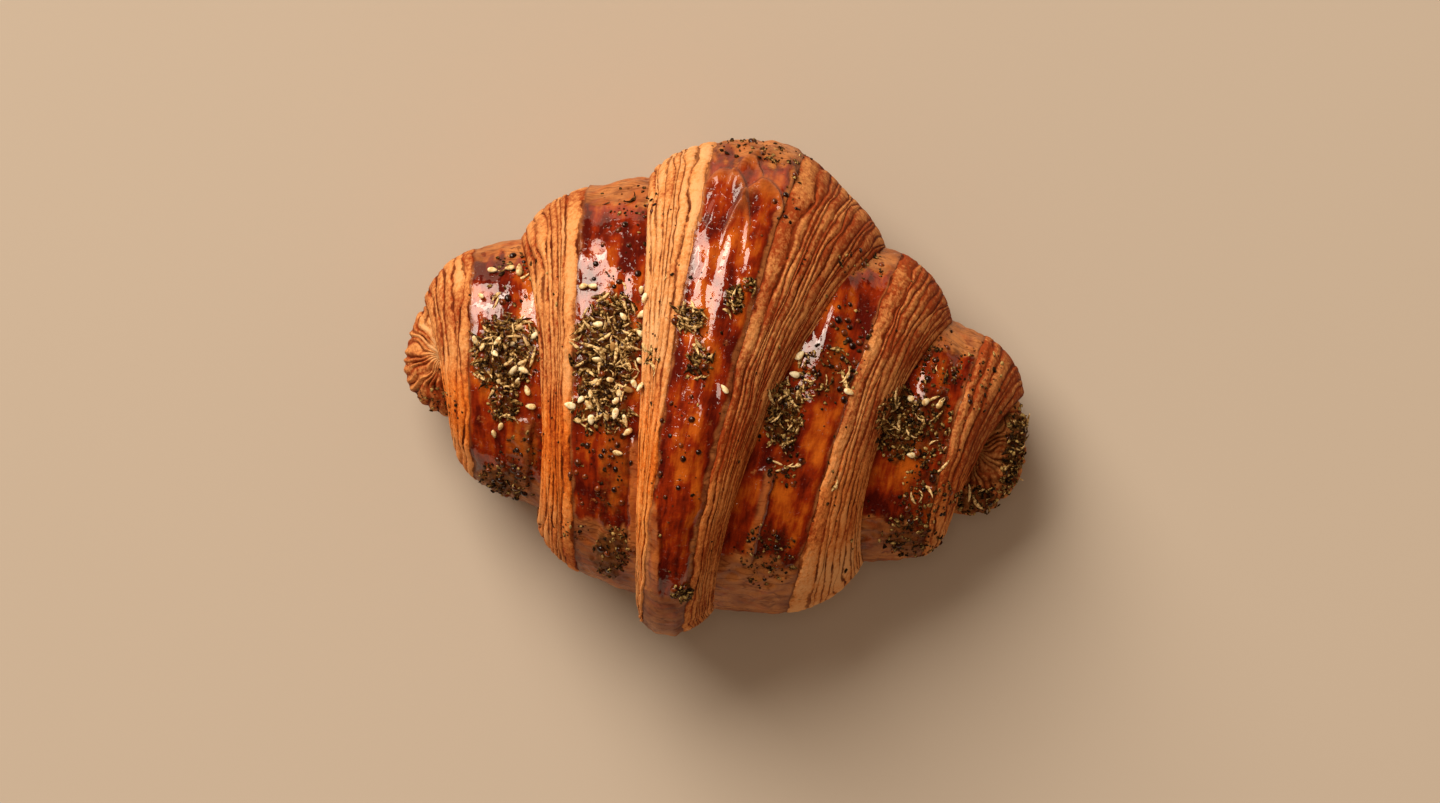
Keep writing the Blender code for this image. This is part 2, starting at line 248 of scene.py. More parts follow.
HEAPS = (
    Heap("left_band", (-50.2, 0.5), (8.2, 9.4), 5, 120, 110, 30, 5, cover=1.0, depth=1.3),
    Heap("left_front", (-48.8, -11.5), (3.8, 4.2), 0, 10, 46, 30, 5, cover=0.9, depth=0.7),
    Heap("left_back", (-52.5, 17.0), (6.5, 6.5), 0, 4, 12, 12, 7),
    Heap("left_low", (-45.0, -25.5), (5.5, 8.5), 0, 0, 20, 30, 9),
    Heap("left_end", (-46.8, -29.5), (6.2, 4.6), 0, 0, 64, 60, 6, cover=0.7, depth=0.4),
    Heap("left_dust", (-42.5, -20.5), (4.6, 9.0), 0, 0, 6, 10, 2, cover=0.42),
    Heap("left_back_edge", (-51.5, 23.0), (7.0, 2.6), 0, 0, 12, 10, 0),
    Heap("second_band", (-26.6, 4.2), (8.0, 14.0), 4, 180, 170, 30, 5, cover=1.0, depth=1.5),
    Heap("second_front", (-26.0, -9.0), (7.4, 6.0), 3, 34, 80, 30, 4, cover=0.7, depth=0.8),
    Heap("second_back", (-27.5, 26.0), (6.5, 9.0), 0, 1, 4, 8, 12),
    Heap("second_back_edge", (-26.5, 40.0), (7.5, 4.0), 0, 2, 22, 16, 3),
    Heap("second_low", (-25.0, -23.0), (6.5, 9.0), 0, 0, 6, 20, 18),
    Heap("second_end", (-18.8, -41.5), (4.4, 6.5), 0, 0, 60, 60, 5, cover=0.7, depth=0.4),
    Heap("second_dust", (-21.0, -21.0), (3.8, 15.0), 0, 0, 6, 10, 3, cover=0.42),
    Heap("second_corner", (-29.0, -38.0), (4.5, 3.0), 0, 0, 8, 14, 0),
    Heap("flank_bits", (-15.8, 4.5), (2.2, 2.4), 0, 8, 8, 4, 0),
    Heap("crown_left", (-8.8, 14.3), (3.6, 3.0), 0, 34, 44, 10, 2, cover=0.9, depth=1.0),
    Heap("crown_right", (0.7, 20.3), (2.2, 3.4), 0, 6, 60, 10, 3, cover=1.0, depth=1.2),
    Heap("crown_right_back", (3.8, 24.4), (1.6, 1.8), 0, 2, 18, 4, 2, cover=0.5, depth=0.5),
    Heap("crown_middle", (-5.0, 5.2), (2.8, 4.4), 0, 16, 34, 12, 3, cover=0.5, depth=0.6),
    Heap("crown_low", (-7.0, -15.0), (6.0, 13.0), 0, 0, 2, 10, 12),
    Heap("crown_front", (-1.0, -48.2), (2.6, 2.3), 0, 0, 46, 14, 5, cover=1.0, depth=0.9),
    Heap("crown_back", (2.0, 56.2), (12.0, 2.6), 0, 2, 44, 40, 2),
    Heap("crown_back_edge", (9.5, 48.0), (4.0, 9.0), 0, 0, 8, 12, 5),
    Heap("right_band", (24.5, 6.5), (7.0, 7.0), 0, 24, 60, 26, 10, cover=0.35, depth=0.5),
    Heap("right_groove", (16.0, -4.2), (4.6, 8.2), 0, 40, 120, 24, 3, cover=1.0, depth=1.1),
    Heap("right_back", (28.5, 16.0), (5.5, 8.5), 0, 0, 4, 12, 16),
    Heap("right_back_edge", (29.0, 33.5), (6.0, 3.5), 0, 0, 20, 10, 3),
    Heap("right_low", (18.0, -15.5), (4.0, 5.5), 0, 3, 22, 20, 8, cover=0.2),
    Heap("right_end", (17.5, -37.0), (6.5, 8.0), 0, 0, 50, 90, 7, cover=0.18),
    Heap("fourth_band", (43.0, -2.0), (5.6, 9.2), 0, 30, 190, 60, 3, cover=1.0, depth=1.2),
    Heap("fourth_right", (49.8, -1.5), (5.4, 9.0), 1, 16, 110, 60, 8, cover=0.6, depth=0.7),
    Heap("fourth_back", (50.5, 13.0), (6.0, 6.5), 0, 4, 40, 50, 12, cover=0.15),
    Heap("fourth_low", (52.0, -17.0), (6.5, 8.0), 0, 4, 60, 80, 8, cover=0.3),
    Heap("fourth_end", (50.0, -28.0), (8.0, 5.0), 0, 4, 80, 70, 3, cover=0.5, depth=0.5),
    Heap("right_tip", (71.6, -4.0), (2.8, 11.0), 0, 12, 170, 50, 2, cover=0.95, depth=0.8),
    Heap("right_tip_low", (65.5, -17.5), (7.0, 4.0), 0, 6, 100, 60, 2, cover=0.7, depth=0.6),
    Heap("right_tip_middle", (66.0, -5.0), (8.5, 14.0), 0, 0, 10, 20, 0, cover=0.5),
    Heap("left_tip_low", (-66.0, -13.5), (6.0, 4.0), 0, 0, 22, 40, 0),
    Heap("right_flank", (60.0, 12.0), (6.0, 8.0), 0, 0, 26, 30, 2),
    Heap("all_over", (0.0, -2.0), (66.0, 44.0), 0, 2, 60, 150, 0))


SEEDS_SEEN: tuple[Pair, ...] = (    # pixels of the picture under single sesame seeds, band by band
    (493, 272), (510, 270), (519, 272), (482, 297), (476, 341), (483, 348), (498, 341), (496, 354),
    (510, 361), (523, 364), (525, 369), (500, 379), (518, 379), (528, 390), (532, 406), (502, 426),
    (495, 433),
    (584, 287), (593, 287), (641, 291), (647, 299), (642, 315), (599, 325), (640, 334), (645, 348),
    (598, 358), (639, 362), (596, 382), (611, 382), (634, 384), (642, 387), (592, 394), (581, 400),
    (588, 405), (616, 401), (592, 419), (607, 415), (615, 415), (627, 432), (618, 452), (724, 389),
    (800, 356), (794, 375), (848, 391), (911, 400), (926, 402), (911, 454))


def herb_cover(place: Array) -> Array:
    """How thickly fine herb covers the crust, ragged at the edges of a heap.

    Args:
        place: the points, in millimetres.

    Returns:
        The cover at each point, 0 to 1.
    """
    x, y = place[:, 0], place[:, 1]
    ragged = 0.22 * ripple(x, y, 3.4, 71) + 0.14 * ripple(x, y, 1.3, 72)
    cover = np.zeros(len(place))
    for heap in HEAPS:
        if heap.cover > 0:
            near = soft_step(heap.inside(x, y) + ragged, 0.0, 0.3)
            cover = np.maximum(cover, heap.cover * near)
    return cover


@dataclass(frozen=True)
class Layers:
    """The cut sheets of dough that show on one flank."""

    sheets: int
    relief: float         # how far a sheet stands out of the groove beside it
    rim_share: float      # share of the flank that the outermost sheet takes
    rings: int            # rings of the skin laid over the flank
    toast: float          # how brown the sheets are baked, 0 to 1
    seed: int
    waver: float = 0.016  # how far the sheets wander, as a share of the flank
    loose: float = 0.14   # how unevenly the sheets stand out, in millimetres
    evenness: float = 0.38    # the thinnest sheet's share of the mean width
    lean: float = 0.0     # how much browner it is at the back than on top
    soaked: float = 1.0   # how much of the wash runs into its front

    def edges(self, along: Array) -> Array:
        """Where the sheets part at each place along the flank.

        Args:
            along: distance round the roll, in millimetres.

        Returns:
            The partings as shares from the rim to the foot, a row for each place.
        """
        draw = random.Random(self.seed)
        widths = np.array([self.rim_share] + [draw.uniform(self.evenness, 2 - self.evenness)
                                              for _ in range(self.sheets - 1)])
        widths[1:] *= (1 - self.rim_share) / widths[1:].sum()
        edges = np.concatenate([[0.0], np.cumsum(widths)])
        number = np.arange(len(edges)) * 41.0
        shift = 0.42 * np.minimum(np.append(widths, 0), np.append(0, widths))
        return edges + shift * ripple(along[:, None], number, 26.0, self.seed)

    def sheet_at(self, share: Array, along: Array) -> tuple[Array, Array, Array]:
        """Which sheet shows at each place on the flank.

        Args:
            share: 0 at the rim to 1 at the foot.
            along: distance round the roll, in millimetres.

        Returns:
            The sheet's number, the share of the way across it, and its share of the flank.
        """
        bow = share * (1 - share) * 4
        wander = self.waver * ripple(along, share * 30, 34.0, self.seed + 3) * bow
        place = np.clip(share + wander, 0, 0.9999)
        edges = self.edges(along)
        sheet = (place[:, None] >= edges[:, 1:-1]).sum(axis=1)
        low = np.take_along_axis(edges, sheet[:, None], axis=1)[:, 0]
        high = np.take_along_axis(edges, sheet[:, None] + 1, axis=1)[:, 0]
        part = np.clip((place - low) / np.maximum(high - low, 1e-4), 0, 1)
        return sheet, part, high - low

    def shape(self, share: Array, along: Array) -> tuple[Array, Array, Array, Array]:
        """The cut sheets at each place on the flank.

        Args:
            share: 0 at the rim to 1 at the foot.
            along: distance round the roll, in millimetres.

        Returns:
            The relief in millimetres, painted shade that is darkest deep in the grooves, how brown it is,
            and its sheet's number with the share of the way across that sheet.
        """
        sheet, part, wide = self.sheet_at(share, along)
        across = np.abs(2 * part - 1)
        stand = ripple(along, sheet * 61.0, 26.0, self.seed + 7)
        chips = soft_step(ripple(along, sheet * 37.0, 8.0, self.seed + 8), 0.8, 1.3)
        deep = np.clip(0.75 + 0.35 * ripple(along, sheet * 29.0, 17.0, self.seed + 9), 0.3, 1.1)
        width = np.minimum(wide * self.sheets, 1.5)
        relief = self.relief * width * (0.3 - deep * across ** 4.2) + self.loose * stand
        crumb = 0.045 + 0.05 * (sheet == 0)
        relief = (relief - 0.4 * self.relief * chips
                  + crumb * ripple(along, share * 20, 1.7, self.seed + 13))
        # painted shade in the partings between sheets, stronger where a parting is deeper or chipped
        groove_shade = np.clip(0.25 + 0.75 * deep + 0.3 * chips, 0, 1)
        brown = (self.toast + 0.16 * ripple(along * 0.5, share * 9.0, 11.0, self.seed + 11)
                 + 0.02 * (sheet == 0))
        return relief, groove_shade, np.clip(brown, 0, 1), sheet + part


@dataclass(frozen=True)
class Wash:
    """Where egg wash covers a band of crust: its ends, and how far it stays from the rims."""

    front: float
    back: float
    left_margin: float
    right_margin: float
    seed: int
    wander: float = 1.3   # how unevenly its ends run
    taper: float = 0.0    # how much further it keeps from the left rim at the front

    def cover(self, place: Array, from_left: Array, from_right: Array) -> Array:
        """How much wash lies at each point, 0 to 1.

        Args:
            place: the points.
            from_left, from_right: their distances from the two rims, in millimetres.

        Returns:
            The cover at each point.
        """
        x, y = place[:, 0], place[:, 1]
        ragged = self.wander * (ripple(x, y, 7.0, self.seed) + 0.5 * ripple(x, y, 2.4, self.seed + 1))
        side = 0.35 * ripple(x * 0.3, y, 5.0, self.seed + 2)
        left = self.left_margin + self.taper * soft_step(-y, -0.5 * self.front, -self.front)
        return (soft_step(self.back - y + ragged, -0.6, 1.0) * soft_step(y - self.front + ragged, -0.6, 1.0)
                * soft_step(from_left - left + side, -0.3, 0.5)
                * soft_step(from_right - self.right_margin + side, -0.3, 0.5))


@dataclass(frozen=True)
class Fold:
    """A draped wrinkle across a band, bowed towards the back."""

    share: float          # where its middle lies between the rims
    phi: float            # how far round its crest lies
    wide: float           # half its length, as a share of the band
    height: float
    bow: float = 0.17     # how far its ends trail, in radians

    def shape(self, share: Array, phi: Array, reach: float) -> tuple[Array, Array, Array]:
        """The wrinkle at each place on the crust.

        Args:
            share: 0 at the left rim to 1 at the right rim.
            phi: the angle round the roll.
            reach: the distance round the roll for one radian, in millimetres.

        Returns:
            The relief in millimetres, the painted shade in the crease, and how near the crest each place
            is.
        """
        off = (share - self.share) / self.wide
        ahead = (phi - self.phi + self.bow * off * off) * reach
        window = soft_step(1.15 - np.abs(off), 0.0, 0.4)
        rise = np.where(ahead < 0, np.exp(-(ahead / 4.2) ** 2), np.exp(-(ahead / 0.8) ** 2))
        # painted shade in the crease in front of the crest
        crease_shade = np.exp(-((ahead - 1.2) / 0.7) ** 2)
        crest = np.exp(-((ahead + 1.3) / 2.3) ** 2)
        return self.height * rise * window, crease_shade * window, crest * window


@dataclass(frozen=True)
class Flap:
    """A ragged edge of dough along a band, raised on one side."""

    line: Pair            # x at its back end and at its front end
    ends: Pair            # y of its back end and of its front end
    height: float
    seed: int
    side: int = -1        # -1 where the left side is raised, 1 where the right side is
    ledge: float = 1.6    # how wide its pale ledge is

    def shape(self, place: Array) -> tuple[Array, Array, Array]:
        """The flap at each place on the crust.

        Args:
            place: the points, in millimetres.

        Returns:
            The relief in millimetres, how near the pale ledge each place is, and the painted shade in the
            crease below it.
        """
        x, y = place[:, 0], place[:, 1]
        share = np.clip((y - self.ends[0]) / (self.ends[1] - self.ends[0]), 0, 1)
        torn = 0.35 * ripple(y, y * 0, 7.0, self.seed) + 0.16 * ripple(x, y, 2.0, self.seed + 1)
        beyond = (self.line[0] * (1 - share) + self.line[1] * share + torn - x) * self.side
        inside = soft_step(self.ends[0] + 1.0 - y, 0.0, 2.5) * soft_step(y - self.ends[1] + 1.0, 0.0, 2.5)
        rise = self.height * (1 - soft_step(beyond, -0.2, 0.4)) * soft_step(beyond, -5.0, -1.0)
        ledge = soft_step(beyond, -self.ledge, -0.5 * self.ledge) * (1 - soft_step(beyond, -0.25, 0.1))
        # the last value is painted shade in the crease below the raised edge
        return rise * inside, ledge * inside, np.exp(-((beyond - 0.45) / 0.4) ** 2) * inside


@dataclass(frozen=True)
class Swelling:
    """A broad place where a turn stands further out, or in, than its hoops give."""

    station: float
    reach: float          # how far it spreads, in stations
    phi: float
    round: float          # how far it spreads round the roll, in radians
    height: float

    def shape(self, s: Array, phi: Array) -> Array:
        """Its relief in millimetres."""
        off, turned = (s - self.station) / self.reach, (phi - self.phi) / self.round
        return self.height * np.exp(-off ** 2 - turned ** 2)


@dataclass
class Skin:
    """The tones of a skin's points, kept as attributes of its mesh."""

    band: Array      # 1 on the crust between the rims, 0 on cut layers
    wash: Array      # egg wash on the crust, or soaked into cut layers
    groove_shade: Array    # painted shade, strongest deep in grooves and creases
    brown: Array     # how brown it is baked
    herb: Array      # cover of fine herb
    sheet: Array     # number of the cut sheet, and the share of the way across it


class Rolled:
    """A closed skin wound round the roll: a sheet whose rings are laid on stations."""

    name: str
    segments: int
    bed: float
    girth: float
    crowding: float = 0.42    # how much closer the points lie on top than below

    def stations(self) -> Array:
        """Where the rings lie."""
        raise NotImplementedError

    def point(self, s: Array, phi: Array) -> Array:
        """The smooth surface, as one point for each station and angle."""
        raise NotImplementedError

    def finish(self, s: Array, phi: Array, place: Array) -> tuple[Array, Skin]:
        """The relief at each point and its tones."""
        raise NotImplementedError

    def outward(self, s: Array, phi: Array) -> Array:
        """Outward directions of the smooth surface, from small steps along it.

        Args:
            s, phi: the points' stations and angles.

        Returns:
            A unit vector for each point.
        """
        step = 1e-3
        along = self.point(s + step, phi) - self.point(s - step, phi)
        around = self.point(s, phi + step) - self.point(s, phi - step)
        out = np.cross(along, around)
        return out / np.maximum(np.linalg.norm(out, axis=-1, keepdims=True), 1e-9)

    def shaped(self, stations: Array, ring: Array, turned: Array) -> tuple[Array, Skin]:
        """Lays the points of the flat sheet round the roll, with their relief.

        Args:
            stations: where the rings lie.
            ring: each point's ring.
            turned: each point's angle on the sheet.

        Returns:
            The points in millimetres and their tones.
        """
        phi = turned - self.crowding * np.sin(turned)
        s = stations[ring]
        inside = np.clip(s, 0.002, stations[-1] - 0.002)
        place = self.point(inside, phi)
        relief, skin = self.finish(inside, phi, place)
        place = place + self.outward(inside, phi) * relief[:, None]
        ends = (ring == 0) | (ring == len(stations) - 1)
        place[ends] = self.point(np.clip(s, 0, stations[-1] - 1e-9), phi)[ends]
        place[:, 2] = np.maximum(place[:, 2], self.bed)
        return place, skin

    def build(self) -> bpy.types.Object:
        """The skin as an object in millimetres, with its tones and its flow map.

        Returns:
            The object, not yet in the scene.
        """
        stations = self.stations()
        rings = len(stations) - 1
        form = self.closed_sheet(rings)
        flat = np.array([v.co for v in form.verts])
        ring = np.rint((flat[:, 1] + 1) / 2 * rings).astype(int)
        turned = flat[:, 0] * math.pi
        place, skin = self.shaped(stations, ring, turned)
        for vertex, where in zip(form.verts, place):
            vertex.co = where
        if form.calc_volume(signed=True) < 0:
            bmesh.ops.reverse_faces(form, faces=form.faces)
        mesh = bpy.data.meshes.new(self.name)
        form.to_mesh(mesh)
        form.free()
        for tone, values in vars(skin).items():
            mesh.attributes.new(tone, "FLOAT", "POINT").data.foreach_set("value", values.astype(np.float32))
        self.lay_flow(mesh, self.across(stations)[ring], turned)
        mesh.shade_smooth()
        return bpy.data.objects.new(self.name, mesh)

    def closed_sheet(self, rings: int) -> bmesh.types.BMesh:
        """A flat grid whose sides are welded together and whose two ends are each welded to a point.

        Args:
            rings: how many rows of faces it has.

        Returns:
            The sheet, with x from -1 to 1 for the way round and y from -1 to 1 for the rings.
        """
        form = bmesh.new()
        bmesh.ops.create_grid(form, x_segments=self.segments, y_segments=rings, size=1.0)
        rows = [round((vertex.co.y + 1) / 2 * rings) for vertex in form.verts]
        first = {row: vertex for vertex, row in zip(form.verts, rows) if vertex.co.x < -0.9999}
        welds = {vertex: first[row] for vertex, row in zip(form.verts, rows)
                 if (row in (0, rings) or vertex.co.x > 0.9999) and vertex is not first[row]}
        bmesh.ops.weld_verts(form, targetmap=welds)
        return form

    def across(self, stations: Array) -> Array:
        """Distance over the top from the first station to each, in millimetres."""
        line = self.point(np.clip(stations, 0.002, stations[-1] - 0.002), np.full(len(stations), 0.25))
        return np.concatenate([[0.0], np.cumsum(np.linalg.norm(np.diff(line, axis=0), axis=1))])

    def lay_flow(self, mesh: bpy.types.Mesh, across: Array, turned: Array) -> None:
        """Writes a UV map in millimetres: across the turn, and round it.

        Args:
            mesh: the skin.
            across: each point's distance over the top.
            turned: each point's angle on the sheet.
        """
        corner = np.zeros(len(mesh.loops), int)
        mesh.loops.foreach_get("vertex_index", corner)
        start = np.zeros(len(mesh.polygons), int)
        mesh.polygons.foreach_get("loop_start", start)
        size = np.diff(np.append(start, len(corner)))
        angle = turned[corner]
        spread = np.maximum.reduceat(angle, start) - np.minimum.reduceat(angle, start)
        angle = angle + np.where(np.repeat(spread > math.pi, size) & (angle < 0), 2 * math.pi, 0)
        flow = np.stack([across[corner], angle * self.girth], axis=1).astype(np.float32)
        mesh.uv_layers.new(name="flow").data.foreach_set("uv", flow.ravel())


@dataclass
class Turn(Rolled):
    """One turn of the rolled dough, with a rim and a foot on each side."""

    name: str
    left_foot: Hoop
    left_rim: Hoop
    right_rim: Hoop
    right_foot: Hoop
    swell: float          # how far the crust bulges between its rims
    bed: float            # the height its underside is pressed flat at
    segments: int
    left: Layers
    right: Layers
    washes: tuple[Wash, ...]
    shown: tuple[tuple[float, float, int], ...]   # shares of the crust that show, and rings on each
    folds: tuple[Fold, ...] = ()
    flaps: tuple[Flap, ...] = ()
    swellings: tuple[Swelling, ...] = ()
    ridges: Triple = (9.0, 4.0, 0.0)  # wave length, first crest's distance from the left rim, and height
    lumps: float = 0.3                # height of the broad lumps, in millimetres
    seed: int = 5

    def __post_init__(self) -> None:
        """Works out the mean distance round the roll for one radian."""
        self.girth = self.left_rim.reach() * 0.93

    def point(self, s: Array, phi: Array) -> Array:
        """The smooth surface of the turn.

        Args:
            s, phi: the points' stations and angles.

        Returns:
            The points in millimetres, one row each.
        """
        left_tuck, right_tuck = self.left_foot.tucked(-1), self.right_foot.tucked(1)
        pieces = (
            between(left_tuck.closed(), left_tuck, s, s, phi),
            between(left_tuck, self.left_foot, s - 1, s - 1, phi),
            self.flank(self.left_rim, self.left_foot, 3 - s, phi),
            self.crust(s - 3, phi),
            self.flank(self.right_rim, self.right_foot, s - 4, phi),
            between(self.right_foot, right_tuck, s - 5, s - 5, phi),
            between(right_tuck, right_tuck.closed(), s - 6, s - 6, phi))
        return np.choose(np.clip(np.floor(s), 0, 6).astype(int)[..., None], pieces)

    @staticmethod
    def flank(rim: Hoop, foot: Hoop, share: Array, phi: Array) -> Array:
        """The bulging flank below one rim.

        Args:
            rim, foot: the hoops that it runs between.
            share: 0 at the rim to 1 at the foot.
            phi: the angle round the roll.

        Returns:
            The points in millimetres, one row each.
        """
        bend = share * math.pi / 2
        go_along = (1 - FLANK_ROUNDNESS) * share + FLANK_ROUNDNESS * np.sin(bend)
        go_in = (1 - FLANK_ROUNDNESS) * share + FLANK_ROUNDNESS * (1 - np.cos(bend))
        return between(rim, foot, go_along, go_in, phi)

    def crust(self, share: Array, phi: Array) -> Array:
        """The band between the rims, swollen in the middle.

        Args:
            share: 0 at the left rim to 1 at the right rim.
            phi: the angle round the roll.

        Returns:
            The points in millimetres, one row each.
        """
        flat = between(self.left_rim, self.right_rim, share, share, phi)
        left, right = self.left_rim.swollen(self.swell), self.right_rim.swollen(self.swell)
        full = between(left, right, share, share, phi)
        return flat + (full - flat) * (4 * share * (1 - share))[..., None]

    def stations(self) -> Array:
        """Rings close together over the flanks and the crust that shows, and few where they are hidden.

        Returns:
            The stations in order.
        """
        rings = [np.array([0, 1]), np.linspace(1.4, 2, 6, endpoint=False),
                 np.linspace(2, 3, self.left.rings, endpoint=False)]
        for (start, end, count) in self.shown:
            rings.append(3 + np.linspace(start, end, count, endpoint=False))
        rings += [np.linspace(4, 5, self.right.rings, endpoint=False), np.linspace(5, 5.6, 6)]
        rings.append(np.array([6, 7]))
        return np.concatenate(rings)

    def finish(self, s: Array, phi: Array, place: Array) -> tuple[Array, Skin]:
        """The relief and tones of the crust, the cut layers and the herb that lies on them.

        Args:
            s, phi: the points' stations and angles.
            place: the points on the smooth surface.

        Returns:
            The relief in millimetres and the tones.
        """
        band = (s >= 3) & (s <= 4)
        relief, skin = self.crust_skin(np.clip(s - 3, 0, 1), phi, place)
        skin.band = band * 1.0
        skin.wash = np.where(band, skin.wash, 0.0)
        skin.sheet = np.where(s < 3.5, self.left.seed, self.right.seed) + 0.0
        self.lay_sheets(self.left, 3 - s, phi, relief, skin)
        self.lay_sheets(self.right, s - 4, phi, relief, skin)
        hidden = (s < 2) | (s > 5)
        relief[hidden] = 0.0
        # hidden parts are given full painted shade
        skin.groove_shade[hidden] = 1.0
        skin.groove_shade, skin.brown = np.clip(skin.groove_shade, 0, 1), np.clip(skin.brown, 0, 1)
        for swelling in self.swellings:
            relief = relief + swelling.shape(s, phi)
        skin.herb = herb_cover(place) * (np.cos(phi) > 0) * np.where(band, 1.0, 0.35)
        relief = relief + skin.herb * (0.45 + 0.38 * ripple(place[:, 0], place[:, 1], 2.2, 73))
        return relief, skin

    def crust_skin(self, share: Array, phi: Array, place: Array) -> tuple[Array, Skin]:
        """The crust between the rims: its lumps, egg wash, folds and flaps.

        Args:
            share: 0 at the left rim to 1 at the right rim.
            phi: the angle round the roll.
            place: the points on the smooth surface.

        Returns:
            The relief in millimetres and the tones.
        """
        x, y, z = place.T
        along = phi * self.girth
        wide = np.abs(self.right_rim.along(phi) - self.left_rim.along(phi))
        from_left, from_right = share * wide, (1 - share) * wide
        wash = np.zeros(len(share))
        for egg in self.washes:
            wash = np.maximum(wash, egg.cover(place, from_left, from_right))
        relief, groove_shade, brown = self.crust_relief(from_left, from_right, along, phi)
        relief = relief + 0.22 * (1 - wash) * ripple(from_left * 0.6, along * 1.6, 3.4, self.seed + 5)
        darker = np.where(wash > 0.5, np.where(phi > 0, 0.22, 0.30), np.where(phi > 0, -0.22, 0.06))
        brown = brown + darker * soft_step(np.abs(phi), 0.30, 0.90)
        thin = soft_step(ripple(x, y + 2 * z, 8.0, self.seed + 6), 0.0, 0.9)
        wash = np.maximum(wash, 0.45 * thin * soft_step(np.minimum(from_left, from_right), 0.2, 2.0))
        for fold in self.folds:
            rise, crease_shade, crest = fold.shape(share, phi, self.girth)
            # a fold's crease gets painted shade; its crest loses wash and brown, partly bare crust and
            # partly painted sheen
            relief, groove_shade = relief + rise, np.maximum(groove_shade, crease_shade)
            wash, brown = wash * (1 - 0.4 * crest), brown * (1 - 0.35 * crest)
        for flap in self.flaps:
            rise, ledge, crease_shade = flap.shape(place)
            # the crease below a flap gets painted shade
            relief, groove_shade = relief + rise, np.maximum(groove_shade, crease_shade)
            wash = wash * (1 - 0.6 * ledge)
            brown = brown * (1 - ledge) + ledge * (0.3 + 0.3 * ripple(x, y, 4.0, flap.seed + 2))
        unset = np.zeros(len(share))
        return relief, Skin(unset, wash, groove_shade, brown, unset, unset)

    def lay_sheets(self, layers: Layers, off: Array, phi: Array, relief: Array, skin: Skin) -> None:
        """Puts the cut sheets of one flank into the relief and the tones, which it changes.

        Args:
            layers: the flank's sheets.
            off: 0 at the rim to 1 at the foot, and beyond on other parts of the turn.
            phi: the angle round the roll.
            relief: the relief so far, in millimetres.
            skin: the tones so far.
        """
        on = (off > 0) & (off <= 1.0)
        front = -phi[on]
        relief[on], skin.groove_shade[on], skin.brown[on], number = layers.shape(off[on], phi[on] * self.girth)
        # the drop towards the front is painted light: it lightens the sheets on the front, which face away
        # from the lamps
        skin.brown[on] += layers.lean * np.sin(phi[on]) - 0.20 * soft_step(front, 0.4, 1.0)
        fading = 1 - 0.5 * soft_step(front, 0.6, 1.0)
        skin.wash[on] = layers.soaked * soft_step(front, -0.1, 0.25) * fading
        skin.sheet[on] += number
        skin.sheet[off > 1] += layers.sheets

    def crust_relief(self, from_left: Array, from_right: Array, along: Array,
                     phi: Array) -> tuple[Array, Array, Array]:
        """The lumps and wrinkles of the crust between the rims.

        Args:
            from_left, from_right: distances from the two rims, in millimetres.
            along: distance round the roll, in millimetres.
            phi: the angle round the roll.

        Returns:
            The relief in millimetres, painted shade in the grooves beside the rims, and how brown the crust
            is.
        """
        from_rim = np.minimum(from_left, from_right)
        edge = soft_step(from_rim, 0.0, 1.8)
        length, crest, height = self.ridges
        sway = 0.7 * ripple(along, from_left * 0.3, 16.0, self.seed + 3)
        ridge = height * np.cos(2 * math.pi * (from_left - crest) / length + sway)
        relief = (self.lumps * ripple(from_left, along * 0.6, 13.0, self.seed)
                  + 0.11 * ripple(from_left, along * 0.3, 3.6, self.seed + 1)
                  + ridge * (0.35 + 0.65 * soft_step(phi, -0.6, 0.3))) * edge - 0.15 * (1 - edge)
        # painted shade along the rims, where the band meets the sheets beside it
        groove_shade = 0.6 * (1 - soft_step(from_rim, 0.0, 0.5))
        brown = (0.40 + 0.3 * ripple(from_left, along * 0.6, 9.0, self.seed + 2)
                 + 0.4 * (1 - soft_step(from_rim, 0.3, 3.2)))
        return relief, groove_shade, brown


